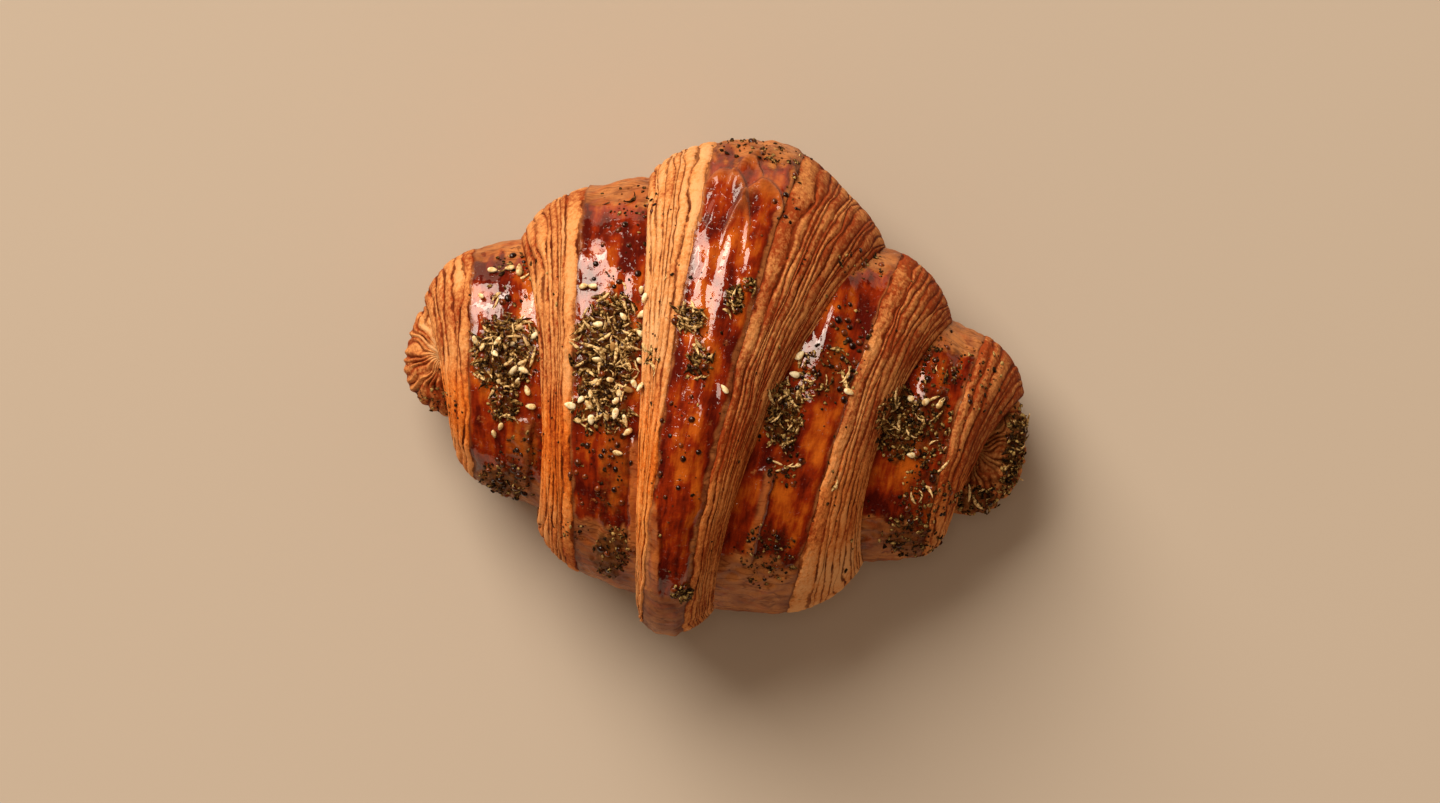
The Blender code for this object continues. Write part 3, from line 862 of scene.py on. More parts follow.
@dataclass
class Tips(Rolled):
    """The innermost turn, which shows as a blunt, wrinkled tip at each end."""

    name: str
    shoulders: tuple[Hoop, Hoop]
    ends: tuple[Hoop, Hoop]
    knots: tuple[Pair, Pair]    # where the wrinkles of each tip meet, in plan
    bed: float
    segments: int
    rings: int
    wrinkles: int
    relief: float
    girth: float = 14.0

    def point(self, s: Array, phi: Array) -> Array:
        """A body between two shoulders with a dome at each end.

        Args:
            s, phi: the points' stations and angles.

        Returns:
            The points in millimetres, one row each.
        """
        left, right = self.shoulders
        left_end, right_end = self.ends
        rising = np.sin(np.clip(1 - s, 0, 1) * math.pi / 2)
        falling = np.sin(np.clip(s - 2, 0, 1) * math.pi / 2)
        pieces = (
            between(left, left_end, rising, 1 - np.sqrt(1 - rising ** 2 + 1e-12), phi),
            between(left, right, s - 1, s - 1, phi),
            between(right, right_end, falling, 1 - np.sqrt(1 - falling ** 2 + 1e-12), phi))
        return np.choose(np.clip(np.floor(s), 0, 2).astype(int)[..., None], pieces)

    def stations(self) -> Array:
        """Rings on the two domes, with nothing between them but one hidden stretch."""
        dome = np.linspace(0, 1, self.rings)
        return np.concatenate([dome, 2 + dome])

    def finish(self, s: Array, phi: Array, place: Array) -> tuple[Array, Skin]:
        """Wrinkles that run outwards from a knot, and their tones.

        Args:
            s, phi: the points' stations and angles.
            place: the points on the smooth surface.

        Returns:
            The relief in millimetres and the tones.
        """
        left = s < 1.5
        knot = np.where(left[:, None], self.knots[0], self.knots[1])
        x, y = (place[:, 0] - knot[:, 0]) * np.where(left, -1, 1), place[:, 1] - knot[:, 1]
        far = np.hypot(x, y)
        bearing = np.arctan2(y, x) + 0.12 * ripple(far, np.arctan2(y, x) * 8, 7.0, 31)
        fold = np.cos(self.wrinkles * bearing)
        rise = soft_step(far, 0.5, 6.0) * np.clip(0.75 + 0.7 * ripple(x, y, 4.0, 36), 0.05, 1.3)
        pale = soft_step(6.5 - far + 0.8 * y + 1.2 * ripple(x, y, 5.0, 34), 0.0, 6.0)
        rise = rise * (1 - 0.6 * pale * left)
        relief = self.relief * rise * (fold - 0.15 * (1 - fold) ** 2) + 0.16 * ripple(x, y, 3.2, 33)
        brown = np.where(left, 0.85 - 0.8 * pale, 0.76 - 0.15 * pale)
        herb = herb_cover(place) * (np.cos(phi) > -0.3)
        relief = relief + herb * 0.3 * ripple(x, y, 1.9, 35)
        zero = np.zeros(len(s))
        sheet = np.where(left, 900, 950) + (self.wrinkles * bearing / math.pi + 1) / 2
        # painted shade along the wrinkles, as strong as the wrinkles are raised
        return relief, Skin(zero, zero, np.clip(rise, 0, 1), np.clip(brown, 0, 1), herb, sheet)


@dataclass(frozen=True)
class Settling:
    """Brings forms in millimetres into the solid's box in metres."""

    stretch: Triple       # metres for a millimetre, along each axis
    foot: Triple          # the shift that follows, in metres

    @classmethod
    def into(cls, objects: Sequence[bpy.types.Object], low: Vector, high: Vector) -> "Settling":
        """Measures the skins against the solid's box.

        Args:
            objects: the skins, in millimetres.
            low, high: the box's corners, in metres.

        Returns:
            The settling.
        """
        corners = np.concatenate([np.array([v.co for v in obj.data.vertices]) for obj in objects])
        least, most = corners.min(axis=0), corners.max(axis=0)
        stretch = (np.array(high) - np.array(low)) / (most - least)
        return cls(tuple(stretch), tuple(np.array(low) - least * stretch))

    def apply(self, obj: bpy.types.Object) -> None:
        """Moves and scales one skin's mesh."""
        obj.data.transform(Matrix.Translation(self.foot) @ Matrix.Diagonal((*self.stretch, 1)))


class Nodes:
    """Short calls that build one material's nodes."""

    def __init__(self, name: str) -> None:
        """Starts a material with its main shader.

        Args:
            name: the material's name.
        """
        self.material = bpy.data.materials.new(name)
        self.material.use_nodes = True
        self.tree = self.material.node_tree
        self.shader = self.tree.nodes["Principled BSDF"]

    def put(self, kind: str, inputs: Optional[dict[str | int, Value]] = None,
            **settings: object) -> bpy.types.Node:
        """Adds a node, sets it up and wires its inputs.

        Args:
            kind: the node's type.
            inputs: values or sockets for its inputs, by name or number.
            settings: properties of the node.

        Returns:
            The node.
        """
        node = self.tree.nodes.new(kind)
        for key, value in settings.items():
            setattr(node, key, value)
        for key, value in (inputs or {}).items():
            self.wire(value, node.inputs[key])
        return node

    def wire(self, value: Value, socket: Socket) -> None:
        """Links a socket or sets a plain value.

        Args:
            value: the socket to link from, or the value.
            socket: the input that gets it.
        """
        if isinstance(value, Socket):
            self.tree.links.new(value, socket)
        elif isinstance(value, tuple) and len(value) == 3 and socket.type == "RGBA":
            socket.default_value = (*value, 1)
        else:
            socket.default_value = value

    def tone(self, name: str) -> Socket:
        """One of the mesh's attributes."""
        return self.put("ShaderNodeAttribute", attribute_name=name).outputs["Fac"]

    def space(self) -> Socket:
        """Object coordinates, in metres."""
        return self.put("ShaderNodeTexCoord").outputs["Object"]

    def flow(self, across: float, along: float) -> Socket:
        """The flow map, stretched by the two factors."""
        uv = self.put("ShaderNodeUVMap", uv_map="flow").outputs["UV"]
        return self.put("ShaderNodeMapping", {"Vector": uv, "Scale": (across, along, 1)}).outputs["Vector"]

    def noise(self, vector: Value, scale: float, detail: float = 3.0, rough: float = 0.55) -> Socket:
        """Noise between 0 and 1."""
        return self.put("ShaderNodeTexNoise", {"Vector": vector, "Scale": scale, "Detail": detail,
                                               "Roughness": rough}).outputs["Fac"]

    def maths(self, operation: str, first: Value, second: Value = 0.0, clamp: bool = True) -> Socket:
        """One sum, product or the like, kept between 0 and 1 unless clamp is off."""
        return self.put("ShaderNodeMath", {0: first, 1: second}, operation=operation,
                        use_clamp=clamp).outputs["Value"]

    def total(self, *parts: Value) -> Socket:
        """The sum of several values, not clamped.

        Args:
            parts: the values.

        Returns:
            Their sum.
        """
        first, *rest = parts
        for part in rest:
            first = self.maths("ADD", first, part, clamp=False)
        return first

    def between(self, value: Value, low: float, high: float, start: float = 0.0,
                end: float = 1.0) -> Socket:
        """Maps low..high to start..end, kept inside."""
        return self.put("ShaderNodeMapRange", {"Value": value, "From Min": low, "From Max": high,
                                               "To Min": start, "To Max": end}).outputs["Result"]

    def mix(self, share: Value, first: Value, second: Value) -> Socket:
        """A colour between two.

        Args:
            share: 0 for the first colour to 1 for the second.
            first, second: the colours.

        Returns:
            The colour.
        """
        node = self.put("ShaderNodeMix", data_type="RGBA")
        self.wire(share, node.inputs["Factor"])
        # The numbers pick the node's colour sockets, which share their names with its other kinds.
        self.wire(first, node.inputs[6])
        self.wire(second, node.inputs[7])
        return node.outputs[2]

    def ramp(self, value: Value, stops: Sequence[tuple[float, Colour]]) -> Socket:
        """A colour picked along a ramp.

        Args:
            value: the place on the ramp, 0 to 1.
            stops: the place and colour of each stop.

        Returns:
            The colour.
        """
        node = self.put("ShaderNodeValToRGB", {"Fac": value})
        while len(node.color_ramp.elements) < len(stops):
            node.color_ramp.elements.new(0.5)
        for element, (place, colour) in zip(node.color_ramp.elements, stops):
            element.position = place
            element.color = (*colour, 1)
        return node.outputs["Color"]

    def bump(self, height: Value, depth: float, strength: float = 1.0,
             under: Optional[Value] = None) -> Socket:
        """Fine relief.

        Args:
            height: how high each place is, 0 to 1.
            depth: the height that 1 stands for, in metres.
            strength: how much of it is used, 0 to 1.
            under: the relief that it lies over, if any.

        Returns:
            The normal.
        """
        node = self.put("ShaderNodeBump", {"Height": height, "Distance": depth, "Strength": strength})
        if under is not None:
            self.wire(under, node.inputs["Normal"])
        return node.outputs["Normal"]

    def done(self, **sockets: Value) -> bpy.types.Material:
        """Wires the shader's sockets.

        Args:
            sockets: what goes to each, by the socket's name with _ for spaces.

        Returns:
            The material.
        """
        for name, value in sockets.items():
            self.wire(value, self.shader.inputs[name.replace("_", " ")])
        return self.material


@dataclass(frozen=True)
class DoughFinish:
    """Egg-washed bands, bare ends, cut layers and fine herb on one baked sheet of dough, with painted shade
    in its grooves and creases.
    """

    mahogany: Colour = (0.085, 0.0040, 0.0004)
    chestnut: Colour = (0.260, 0.0207, 0.0010)
    amber: Colour = (0.540, 0.1150, 0.0070)
    pale_layer: Colour = (0.810, 0.4650, 0.2150)
    gold_layer: Colour = (0.690, 0.2950, 0.0900)
    brown_layer: Colour = (0.310, 0.0520, 0.0100)
    pale_honey: Colour = (0.860, 0.3600, 0.0950)
    honey: Colour = (0.700, 0.1750, 0.0200)
    brown_honey: Colour = (0.340, 0.0460, 0.0045)
    # painted shade colour for grooves and creases
    groove_shade: Colour = (0.095, 0.0130, 0.0020)
    bare_tan: Colour = (0.530, 0.2050, 0.0580)
    bare_brown: Colour = (0.190, 0.0430, 0.0120)
    herb_dark: Colour = (0.030, 0.0055, 0.0005)
    herb_olive: Colour = (0.150, 0.0560, 0.0090)

    def material(self) -> bpy.types.Material:
        """Builds the finish.

        Returns:
            The material.
        """
        n = Nodes("baked_dough")
        space = n.space()
        clouds = n.noise(space, 120.0, 3.0)
        grain = n.noise(space, 1050.0, 4.0, 0.8)
        line = self.groove_lines(n)
        layer = self.cut_layers(n, clouds, grain, line)
        bare = self.bare_crust(n, clouds, grain)
        egg = self.egg_wash(n, clouds, space)

        washed = n.maths("MULTIPLY", n.maths("MULTIPLY", n.tone("wash"), n.tone("band")),
                         n.between(n.noise(space, 420.0, 4.0, 0.65), 0.22, 0.36))
        colour = n.mix(n.tone("band"), layer, n.mix(washed, bare, egg))
        herb = n.tone("herb")
        mottle = n.noise(space, 1300.0, 3.0, 0.7)
        green = n.ramp(mottle, ((0.40, self.herb_dark), (0.66, self.herb_olive)))
        colour = n.mix(n.maths("MULTIPLY", herb, n.between(mottle, 0.3, 0.6, 0.6, 1.2)), colour, green)

        dry = n.maths("MULTIPLY", herb, 0.75)
        gloss = n.maths("MULTIPLY", n.maths("MAXIMUM", washed, n.maths("MULTIPLY", n.tone("band"), 0.30)),
                        n.maths("SUBTRACT", 1.0, dry))
        cuts = n.bump(n.maths("MULTIPLY", line, n.maths("SUBTRACT", 1.0, n.tone("band"))), -0.0004, 0.7)
        crumb = n.bump(grain, 0.00034, 0.9, cuts)
        pits = n.between(n.noise(space, 900.0, 2.0, 0.5), 0.60, 0.72, 1.0, 0.0)
        skin = n.bump(pits, 0.00012, 0.7, n.bump(n.noise(space, 330.0, 2.0, 0.5), 0.00030, 0.4))
        return n.done(Base_Color=colour, Roughness=0.7, Normal=crumb, Specular_IOR_Level=0.06,
                      Coat_Weight=gloss, Coat_Roughness=0.045, Coat_IOR=1.65, Coat_Normal=skin)

    def groove_lines(self, n: Nodes) -> Socket:
        """The partings of the cut sheets, wandering a little.

        Args:
            n: the material's nodes.

        Returns:
            1 where two sheets part, falling to 0 in the middle of each.
        """
        wander = n.between(n.noise(n.flow(0.22, 0.10), 1.0, 2.0, 0.5), 0.3, 0.7, -0.15, 0.15)
        fray = n.between(n.noise(n.flow(1.5, 0.9), 1.0, 3.0, 0.6), 0.3, 0.7, -0.03, 0.03)
        part = n.maths("FRACT", n.total(n.tone("sheet"), wander, fray), clamp=False)
        off = n.maths("ABSOLUTE", n.maths("SUBTRACT", part, 0.5, clamp=False))
        return n.maths("MULTIPLY", off, 2.0)

    def own_noise(self, n: Nodes, number: Value, repeats: float) -> Socket:
        """Noise drawn out along each sheet or groove, different for each number.

        Args:
            n: the material's nodes.
            number: the sheet's or the groove's number.
            repeats: how many times the noise repeats in a millimetre along it.

        Returns:
            The noise.
        """
        away = n.put("ShaderNodeCombineXYZ", {"X": n.maths("MULTIPLY", number, 3.7, clamp=False)})
        spot = n.put("ShaderNodeVectorMath", {0: n.flow(0.0, repeats), 1: away.outputs[0]})
        return n.noise(spot.outputs["Vector"], 1.0, 2.0)

    def cut_layers(self, n: Nodes, clouds: Value, grain: Value, line: Value) -> Socket:
        """Sheets baked to different golds, with painted shade of uneven strength in the grooves between
        them.

        Args:
            n: the material's nodes.
            clouds: broad noise.
            grain: fine noise.
            line: 1 where two sheets part.

        Returns:
            The colour.
        """
        own = self.own_noise(n, n.maths("FLOOR", n.tone("sheet"), clamp=False), 0.045)
        threads = n.noise(n.flow(1.1, 0.45), 1.0, 3.0, 0.6)
        bake = n.total(n.maths("MULTIPLY", n.tone("brown"), 0.85),
                       n.between(own, 0.36, 0.64, -0.18, 0.30),
                       n.between(threads, 0.35, 0.65, -0.13, 0.15),
                       n.between(grain, 0.36, 0.64, -0.22, 0.24),
                       n.between(line, 0.45, 1.0, -0.04, 0.34))
        bake = n.maths("MAXIMUM", bake, n.maths("MULTIPLY", n.tone("brown"), 0.5), clamp=False)
        dry = n.ramp(bake, ((0.0, self.pale_layer), (0.45, self.gold_layer), (1.0, self.brown_layer)))
        soaked = n.ramp(bake, ((0.0, self.pale_honey), (0.45, self.honey), (1.0, self.brown_honey)))
        layer = n.mix(n.tone("wash"), dry, soaked)
        strong = n.between(self.own_noise(n, n.maths("ROUND", n.tone("sheet"), clamp=False), 0.06),
                           0.36, 0.64, -0.12, 0.20)
        breaks = n.between(n.noise(n.flow(0.5, 0.3), 1.0, 3.0, 0.6), 0.36, 0.60, -0.14, 0.05)
        cut = n.between(n.total(line, strong, breaks), 0.79, 0.91)
        # painted shade in the partings between the sheets
        hollow_shade = n.maths("MULTIPLY", n.maths("MULTIPLY", cut, n.tone("groove_shade")),
                         n.between(clouds, 0.3, 0.7, 0.7, 1.1))
        specks = n.between(n.noise(n.space(), 760.0, 3.0, 0.6), 0.65, 0.72, 0.0, 0.55)
        return n.mix(n.maths("MAXIMUM", hollow_shade, specks), layer, self.groove_shade)

    def bare_crust(self, n: Nodes, clouds: Value, grain: Value) -> Socket:
        """Dull crust beyond the egg wash, speckled, with painted shade in its creases.

        Args:
            n: the material's nodes.
            clouds: broad noise.
            grain: fine noise.

        Returns:
            The colour.
        """
        share = n.total(n.maths("MULTIPLY", n.tone("brown"), 0.65),
                        n.between(clouds, 0.35, 0.65, -0.30, 0.45),
                        n.between(grain, 0.38, 0.65, -0.06, 0.10))
        bare = n.mix(n.maths("ADD", share, 0.0), self.bare_tan, self.bare_brown)
        specks = n.between(n.noise(n.space(), 420.0, 3.0, 0.6), 0.63, 0.70, 0.0, 0.8)
        wander = n.noise(n.flow(0.07, 0.26), 1.0, 2.0, 0.5)
        away = n.maths("ABSOLUTE", n.maths("SUBTRACT", wander, 0.5, clamp=False))
        # thin wandering lines of painted shade for the creases
        crack_shade = n.between(away, 0.0, 0.030, 0.60, 0.0)
        hollow_shade = n.maths("MAXIMUM", crack_shade, n.maths("MULTIPLY", n.tone("groove_shade"), 0.8))
        return n.mix(n.maths("MAXIMUM", hollow_shade, specks), bare, self.groove_shade)

    def egg_wash(self, n: Nodes, clouds: Value, space: Value) -> Socket:
        """Egg wash baked to patches of amber and mahogany, drawn out along the band.

        Args:
            n: the material's nodes.
            clouds: broad noise.
            space: object coordinates.

        Returns:
            The colour.
        """
        streaks = n.noise(n.flow(0.30, 0.065), 1.0, 3.0, 0.55)
        veins = n.noise(n.flow(1.6, 0.22), 1.0, 2.0, 0.5)
        drops = n.noise(space, 330.0, 2.0, 0.5)
        tint = n.total(n.between(streaks, 0.32, 0.68, 0.02, 0.82),
                       n.between(clouds, 0.3, 0.7, -0.26, 0.30),
                       n.between(veins, 0.35, 0.65, -0.06, 0.07),
                       n.between(drops, 0.35, 0.65, -0.08, 0.10),
                       n.between(n.tone("brown"), 0.1, 0.9, 0.26, -0.38))
        egg = n.ramp(tint, ((0.0, self.mahogany), (0.42, self.chestnut), (0.95, self.amber)))
        # painted shade in grooves and creases, as mahogany
        return n.mix(n.maths("MULTIPLY", n.tone("groove_shade"), 0.8), egg, self.mahogany)


@dataclass(frozen=True)
class GrainFinish:
    """A small piece of topping, whose own tone makes it lighter or darker than the next."""

    name: str
    dark: Colour
    middle: Colour
    light: Colour
    roughness: float
    scale: float          # how many times the mottling repeats in a metre
    coat: float = 0.0

    def material(self) -> bpy.types.Material:
        """Builds the finish.

        Returns:
            The material.
        """
        n = Nodes(self.name)
        mottle = n.noise(n.space(), self.scale, 3.0, 0.6)
        share = n.total(n.maths("MULTIPLY", n.tone("tone"), 0.7),
                        n.between(mottle, 0.35, 0.65, -0.2, 0.45))
        colour = n.ramp(share, ((0.20, self.dark), (0.52, self.middle), (0.86, self.light)))
        bumps = n.bump(mottle, 0.00012, 0.6)
        return n.done(Base_Color=colour, Roughness=self.roughness, Normal=bumps, Specular_IOR_Level=0.1,
                      Coat_Weight=self.coat, Coat_Roughness=0.15)


class Kind(Enum):
    """The kinds of topping, named as the heaps name them."""

    SESAME = "seeds"
    CURL = "curls"
    FLAKE = "flakes"
    CRUMB = "crumbs"
    BEAD = "beads"


@dataclass
class Topping:
    """All the pieces of one kind, as one joined mesh."""

    name: str
    kind: Kind
    size: Triple          # length, width and thickness in millimetres
    spread: float         # how much the sizes vary
    sink: float           # share of the thickness that lies in the crust
    lean: float           # most that a piece is tipped, in radians
    finish: GrainFinish
    slot: str
    gap: float = 0.0      # least distance between two pieces, in millimetres
    dull: float = 1.0     # above 1, more of the pieces are dark
    seed: int = 3
    seen: tuple[Pair, ...] = ()    # pixels of the picture under single pieces
    shapes: int = 9       # how many different shapes are made

    def shape(self, draw: random.Random) -> bmesh.types.BMesh:
        """One piece, a unit long, wide and thick.

        Args:
            draw: the seeded draw.

        Returns:
            A new bmesh.
        """
        form = bmesh.new()
        if self.kind is Kind.SESAME:
            bmesh.ops.create_icosphere(form, subdivisions=2, radius=0.5)
            for vertex in form.verts:
                vertex.co.y *= 1 - 0.6 * vertex.co.x - 0.5 * vertex.co.x ** 2
        elif self.kind is Kind.CURL:
            bmesh.ops.create_uvsphere(form, u_segments=6, v_segments=8, radius=0.5)
            bmesh.ops.rotate(form, matrix=Euler((0, math.pi / 2, 0)).to_matrix(), verts=form.verts)
            curve, twist = draw.uniform(0.3, 2.5), draw.uniform(-1.2, 1.2)
            slender = self.size[0] / self.size[1]
            for vertex in form.verts:
                turn = vertex.co.x * curve
                aside = (1 - math.cos(turn)) / curve * slender
                vertex.co.y = vertex.co.y * (1 + 0.4 * math.cos(5 * turn)) + aside
                vertex.co.z += twist * vertex.co.x ** 2 * 4
                vertex.co.x = math.sin(turn) / curve
        elif self.kind is Kind.BEAD:
            bmesh.ops.create_icosphere(form, subdivisions=2, radius=0.5)
        else:
            bmesh.ops.create_icosphere(form, subdivisions=1, radius=0.5)
            for vertex in form.verts:
                vertex.co *= draw.uniform(0.6, 1.35)
        return form

    def places(self, surface: BVHTree) -> list[Laid]:
        """Where the pieces lie.

        Args:
            surface: the baked skins.

        Returns:
            A matrix and a tone for each piece.
        """
        draw = random.Random(self.seed)
        found: list[Laid] = []
        taken: list[Vector] = []
        for pixel in self.seen:
            spot = Picture().spot(*pixel)
            found.append(self.seen_piece(spot, draw, surface))
            taken.append(spot)
        for heap in HEAPS:
            found += self.heaped(heap, draw, taken, surface)
        return found

    def seen_piece(self, spot: Vector, draw: random.Random, surface: BVHTree) -> Laid:
        """Lays a piece that the picture shows, on the camera's line of sight.

        Args:
            spot: where that line passes the height at which the roll is widest.
            draw: the seeded draw.
            surface: the baked skins.

        Returns:
            The piece's matrix and tone.
        """
        eye = Vector((*Studio.aim, Studio.distance))
        where, up, _, _ = surface.ray_cast(eye, Vector((*spot * MM, Studio.widest_height)) - eye)
        return self.lying(draw, where, up, 0.5), draw.uniform(0.35, 1.0)

    def heaped(self, heap: Heap, draw: random.Random, taken: list[Vector], surface: BVHTree) -> list[Laid]:
        """Lays the pieces of this kind that belong to one heap.

        Args:
            heap: the heap.
            draw: the seeded draw.
            taken: where pieces lie already, to which this heap's own are added.
            surface: the baked skins.

        Returns:
            A matrix and a tone for each piece.
        """
        found: list[Laid] = []
        wanted = getattr(heap, self.kind.value)
        for _ in range(wanted * TRIES):
            if len(found) == wanted:
                break
            angle, far = draw.uniform(0, 2 * math.pi), math.sqrt(draw.random())
            spot = Vector((heap.centre[0] + heap.radii[0] * far * math.cos(angle),
                           heap.centre[1] + heap.radii[1] * far * math.sin(angle)))
            if self.gap and any((spot - other).length < self.gap for other in taken):
                continue
            where, up, _, _ = surface.ray_cast(Vector((*spot, DROP_HEIGHT)) * MM, Vector((0, 0, -1)))
            if where is None or up.z < LEAST_RISE or where.z < LEAST_HEIGHT:
                continue
            lift = heap.depth * (1 - far) ** 0.6 * draw.random()
            found.append((self.lying(draw, where, up, lift), draw.random() ** self.dull))
            taken.append(spot)
        return found

    def lying(self, draw: random.Random, where: Vector, up: Vector, lift: float) -> Matrix:
        """The matrix that lays one piece on the crust.

        Args:
            draw: the seeded draw.
            where, up: the spot and the way it faces.
            lift: how far the pieces below hold it up, in millimetres.

        Returns:
            The matrix.
        """
        scale = draw.uniform(1 - self.spread, 1 + self.spread)
        size = [side * scale * draw.uniform(0.88, 1.12) for side in self.size]
        lean = self.lean * (1.6 if lift > 0 else 1)
        turned = Euler((draw.uniform(-lean, lean), draw.uniform(-lean, lean),
                        draw.uniform(0, 2 * math.pi)))
        stand = up.to_track_quat("Z", "X").to_matrix().to_4x4()
        rise = Matrix.Translation(where + up * (size[2] * (0.5 - self.sink) + lift) * MM)
        spin = Matrix.Rotation(turned.z, 4, "Z") @ Euler((turned.x, turned.y, 0)).to_matrix().to_4x4()
        return rise @ stand @ spin @ Matrix.Diagonal((*(side * MM for side in size), 1))

    def stock(self) -> list[bpy.types.Mesh]:
        """The different shapes that the pieces are copied from.

        Returns:
            A mesh for each.
        """
        draw = random.Random(self.seed + 1)
        meshes = []
        for number in range(self.shapes):
            form = self.shape(draw)
            mesh = bpy.data.meshes.new(f"{self.name}_shape_{number}")
            form.to_mesh(mesh)
            form.free()
            meshes.append(mesh)
        return meshes

    def build(self, surface: BVHTree) -> bpy.types.Object:
        """Lays every piece and joins them.

        Args:
            surface: the baked skins.

        Returns:
            The joined pieces as one object.
        """
        stock = self.stock()
        joined = bmesh.new()
        tones = []
        for count, (matrix, tone) in enumerate(self.places(surface)):
            piece = stock[count % self.shapes].copy()
            piece.transform(matrix)
            joined.from_mesh(piece)
            tones += [tone] * len(piece.vertices)
            bpy.data.meshes.remove(piece)
        mesh = bpy.data.meshes.new(self.name)
        joined.to_mesh(mesh)
        joined.free()
        for piece in stock:
            bpy.data.meshes.remove(piece)
        mesh.attributes.new("tone", "FLOAT", "POINT").data.foreach_set("value", np.array(tones, np.float32))
        mesh.shade_smooth()
        return bpy.data.objects.new(self.name, mesh)


@dataclass(frozen=True)
class Studio:
    """The pale floor, the soft light and the camera overhead."""

    roll: float = math.radians(8.6)       # how far the croissant lies turned in the picture
    aim: Pair = (0.00094, -0.00323)       # what lies in the middle of the picture, in metres
    distance: float = 1.6                 # the camera's height over the table top, in metres
    width_shown: float = 0.3407           # in metres, at the height where the roll is widest
    widest_height: float = 0.027          # that height, in metres
    sensor: float = 36.0                  # in millimetres
    floor: Colour = (0.510, 0.457, 0.375)

    def camera(self) -> None:
        """A camera looking straight down."""
        data = bpy.data.cameras.new("overhead")
        data.sensor_width = self.sensor
        data.lens = self.sensor * (self.distance - self.widest_height) / self.width_shown
        camera = bpy.data.objects.new("overhead", data)
        camera.location = (*self.aim, self.distance)
        camera.rotation_euler = (0, 0, self.roll)
        bpy.context.scene.collection.objects.link(camera)
        bpy.context.scene.camera = camera

    def ground(self) -> None:
        """A plain pale table top."""
        form = bmesh.new()
        bmesh.ops.create_grid(form, x_segments=1, y_segments=1, size=1.5)
        mesh = bpy.data.meshes.new("table_top")
        form.to_mesh(mesh)
        form.free()
        ground = bpy.data.objects.new("table_top", mesh)
        n = Nodes("table_paint")
        cloudy = n.noise(n.space(), 4.0, 2.0)
        darker = tuple(0.94 * c for c in self.floor)
        ground.data.materials.append(n.done(Base_Color=n.mix(cloudy, darker, self.floor), Roughness=0.9))
        bpy.context.scene.collection.objects.link(ground)

    def lamp(self, name: str, towards: Triple, far: float, size: Pair, power: float,
             colour: Colour) -> None:
        """A soft box that faces the croissant.

        Args:
            name: what it is called.
            towards: the direction from the croissant to it.
            far: its distance in metres.
            size: its two sides in metres.
            power: its power in watts.
            colour: its light.
        """
        data = bpy.data.lights.new(name, "AREA")
        data.shape = "RECTANGLE"
        data.size, data.size_y = size
        data.energy = power
        data.color = colour
        lamp = bpy.data.objects.new(name, data)
        direction = Vector(towards).normalized()
        lamp.location = direction * far
        lamp.rotation_euler = direction.to_track_quat("Z", "Y").to_euler()
        bpy.context.scene.collection.objects.link(lamp)

    def light(self) -> None:
        """A large soft box from the back left, a weaker one overhead and a dim surround."""
        self.lamp("key", (-0.52, 0.60, 0.86), 3.6, (2.2, 2.2), 138.0, (1.0, 0.84, 0.70))
        self.lamp("window", (-0.66, 0.78, 0.42), 3.6, (1.6, 1.6), 58.0, (1.0, 0.83, 0.69))
        self.lamp("top", (-0.05, 0.05, 1.0), 3.6, (0.4, 0.7), 5.0, (1.0, 0.84, 0.70))
        world = bpy.data.worlds.new("surround")
        world.use_nodes = True
        background = world.node_tree.nodes["Background"]
        background.inputs["Color"].default_value = (1.0, 0.68, 0.46, 1)
        background.inputs["Strength"].default_value = 0.33
        bpy.context.scene.world = world
        world.cycles_visibility.glossy = False
        bpy.context.scene.view_settings.view_transform = "Standard"


def crown_turn() -> Turn:
    """The outermost and fattest turn, with the broad band in the middle of the roll.

    Returns:
        The turn, not yet built.
    """
    return Turn(
        "crown_turn",
        Hoop(x=(-11.6, -17.7, -23.4, -17.0), y=(-50.0, 46.0), z=(-12.0, 27.0, 63.5)),
        Hoop(x=(-9.2, -11.4, -8.8, -10.0), y=(-57.4, 56.6), z=(-15.0, 28.0, 73.2), waver=0.3),
        Hoop(x=(0.4, 3.1, 12.1, 5.0), y=(-58.2, 57.6), z=(-15.0, 28.0, 73.6), waver=0.3),
        Hoop(x=(7.8, 12.4, 34.5, 18.0), y=(-49.0, 38.4), z=(-12.0, 27.0, 61.5)),
        swell=1.6, bed=0.0, segments=380,
        left=Layers(8, 0.62, 0.20, 62, 0.28, 118),
        right=Layers(14, 0.22, 0.20, 100, 0.80, 219, loose=0.06, lean=0.08, soaked=0.5),
        washes=(Wash(-50.0, 53.0, 0.25, 0.9, 61, taper=0.6),),
        shown=((0.0, 1.0, 66),),
        folds=(Fold(0.23, 1.00, 0.30, 1.1), Fold(0.25, 1.28, 0.32, 1.3), Fold(0.72, 0.93, 0.32, 1.1),
               Fold(0.70, 1.22, 0.34, 1.3), Fold(0.47, 1.10, 0.20, 0.8), Fold(0.52, 0.80, 0.16, 0.5)),
        flaps=(Flap((-9.8, -5.6), (-29.0, -50.5), 0.5, 97, ledge=3.0),),
        swellings=(Swelling(4.45, 0.4, 1.45, 0.5, -2.6),),
        ridges=(5.2, 3.2, 0.17), seed=5)


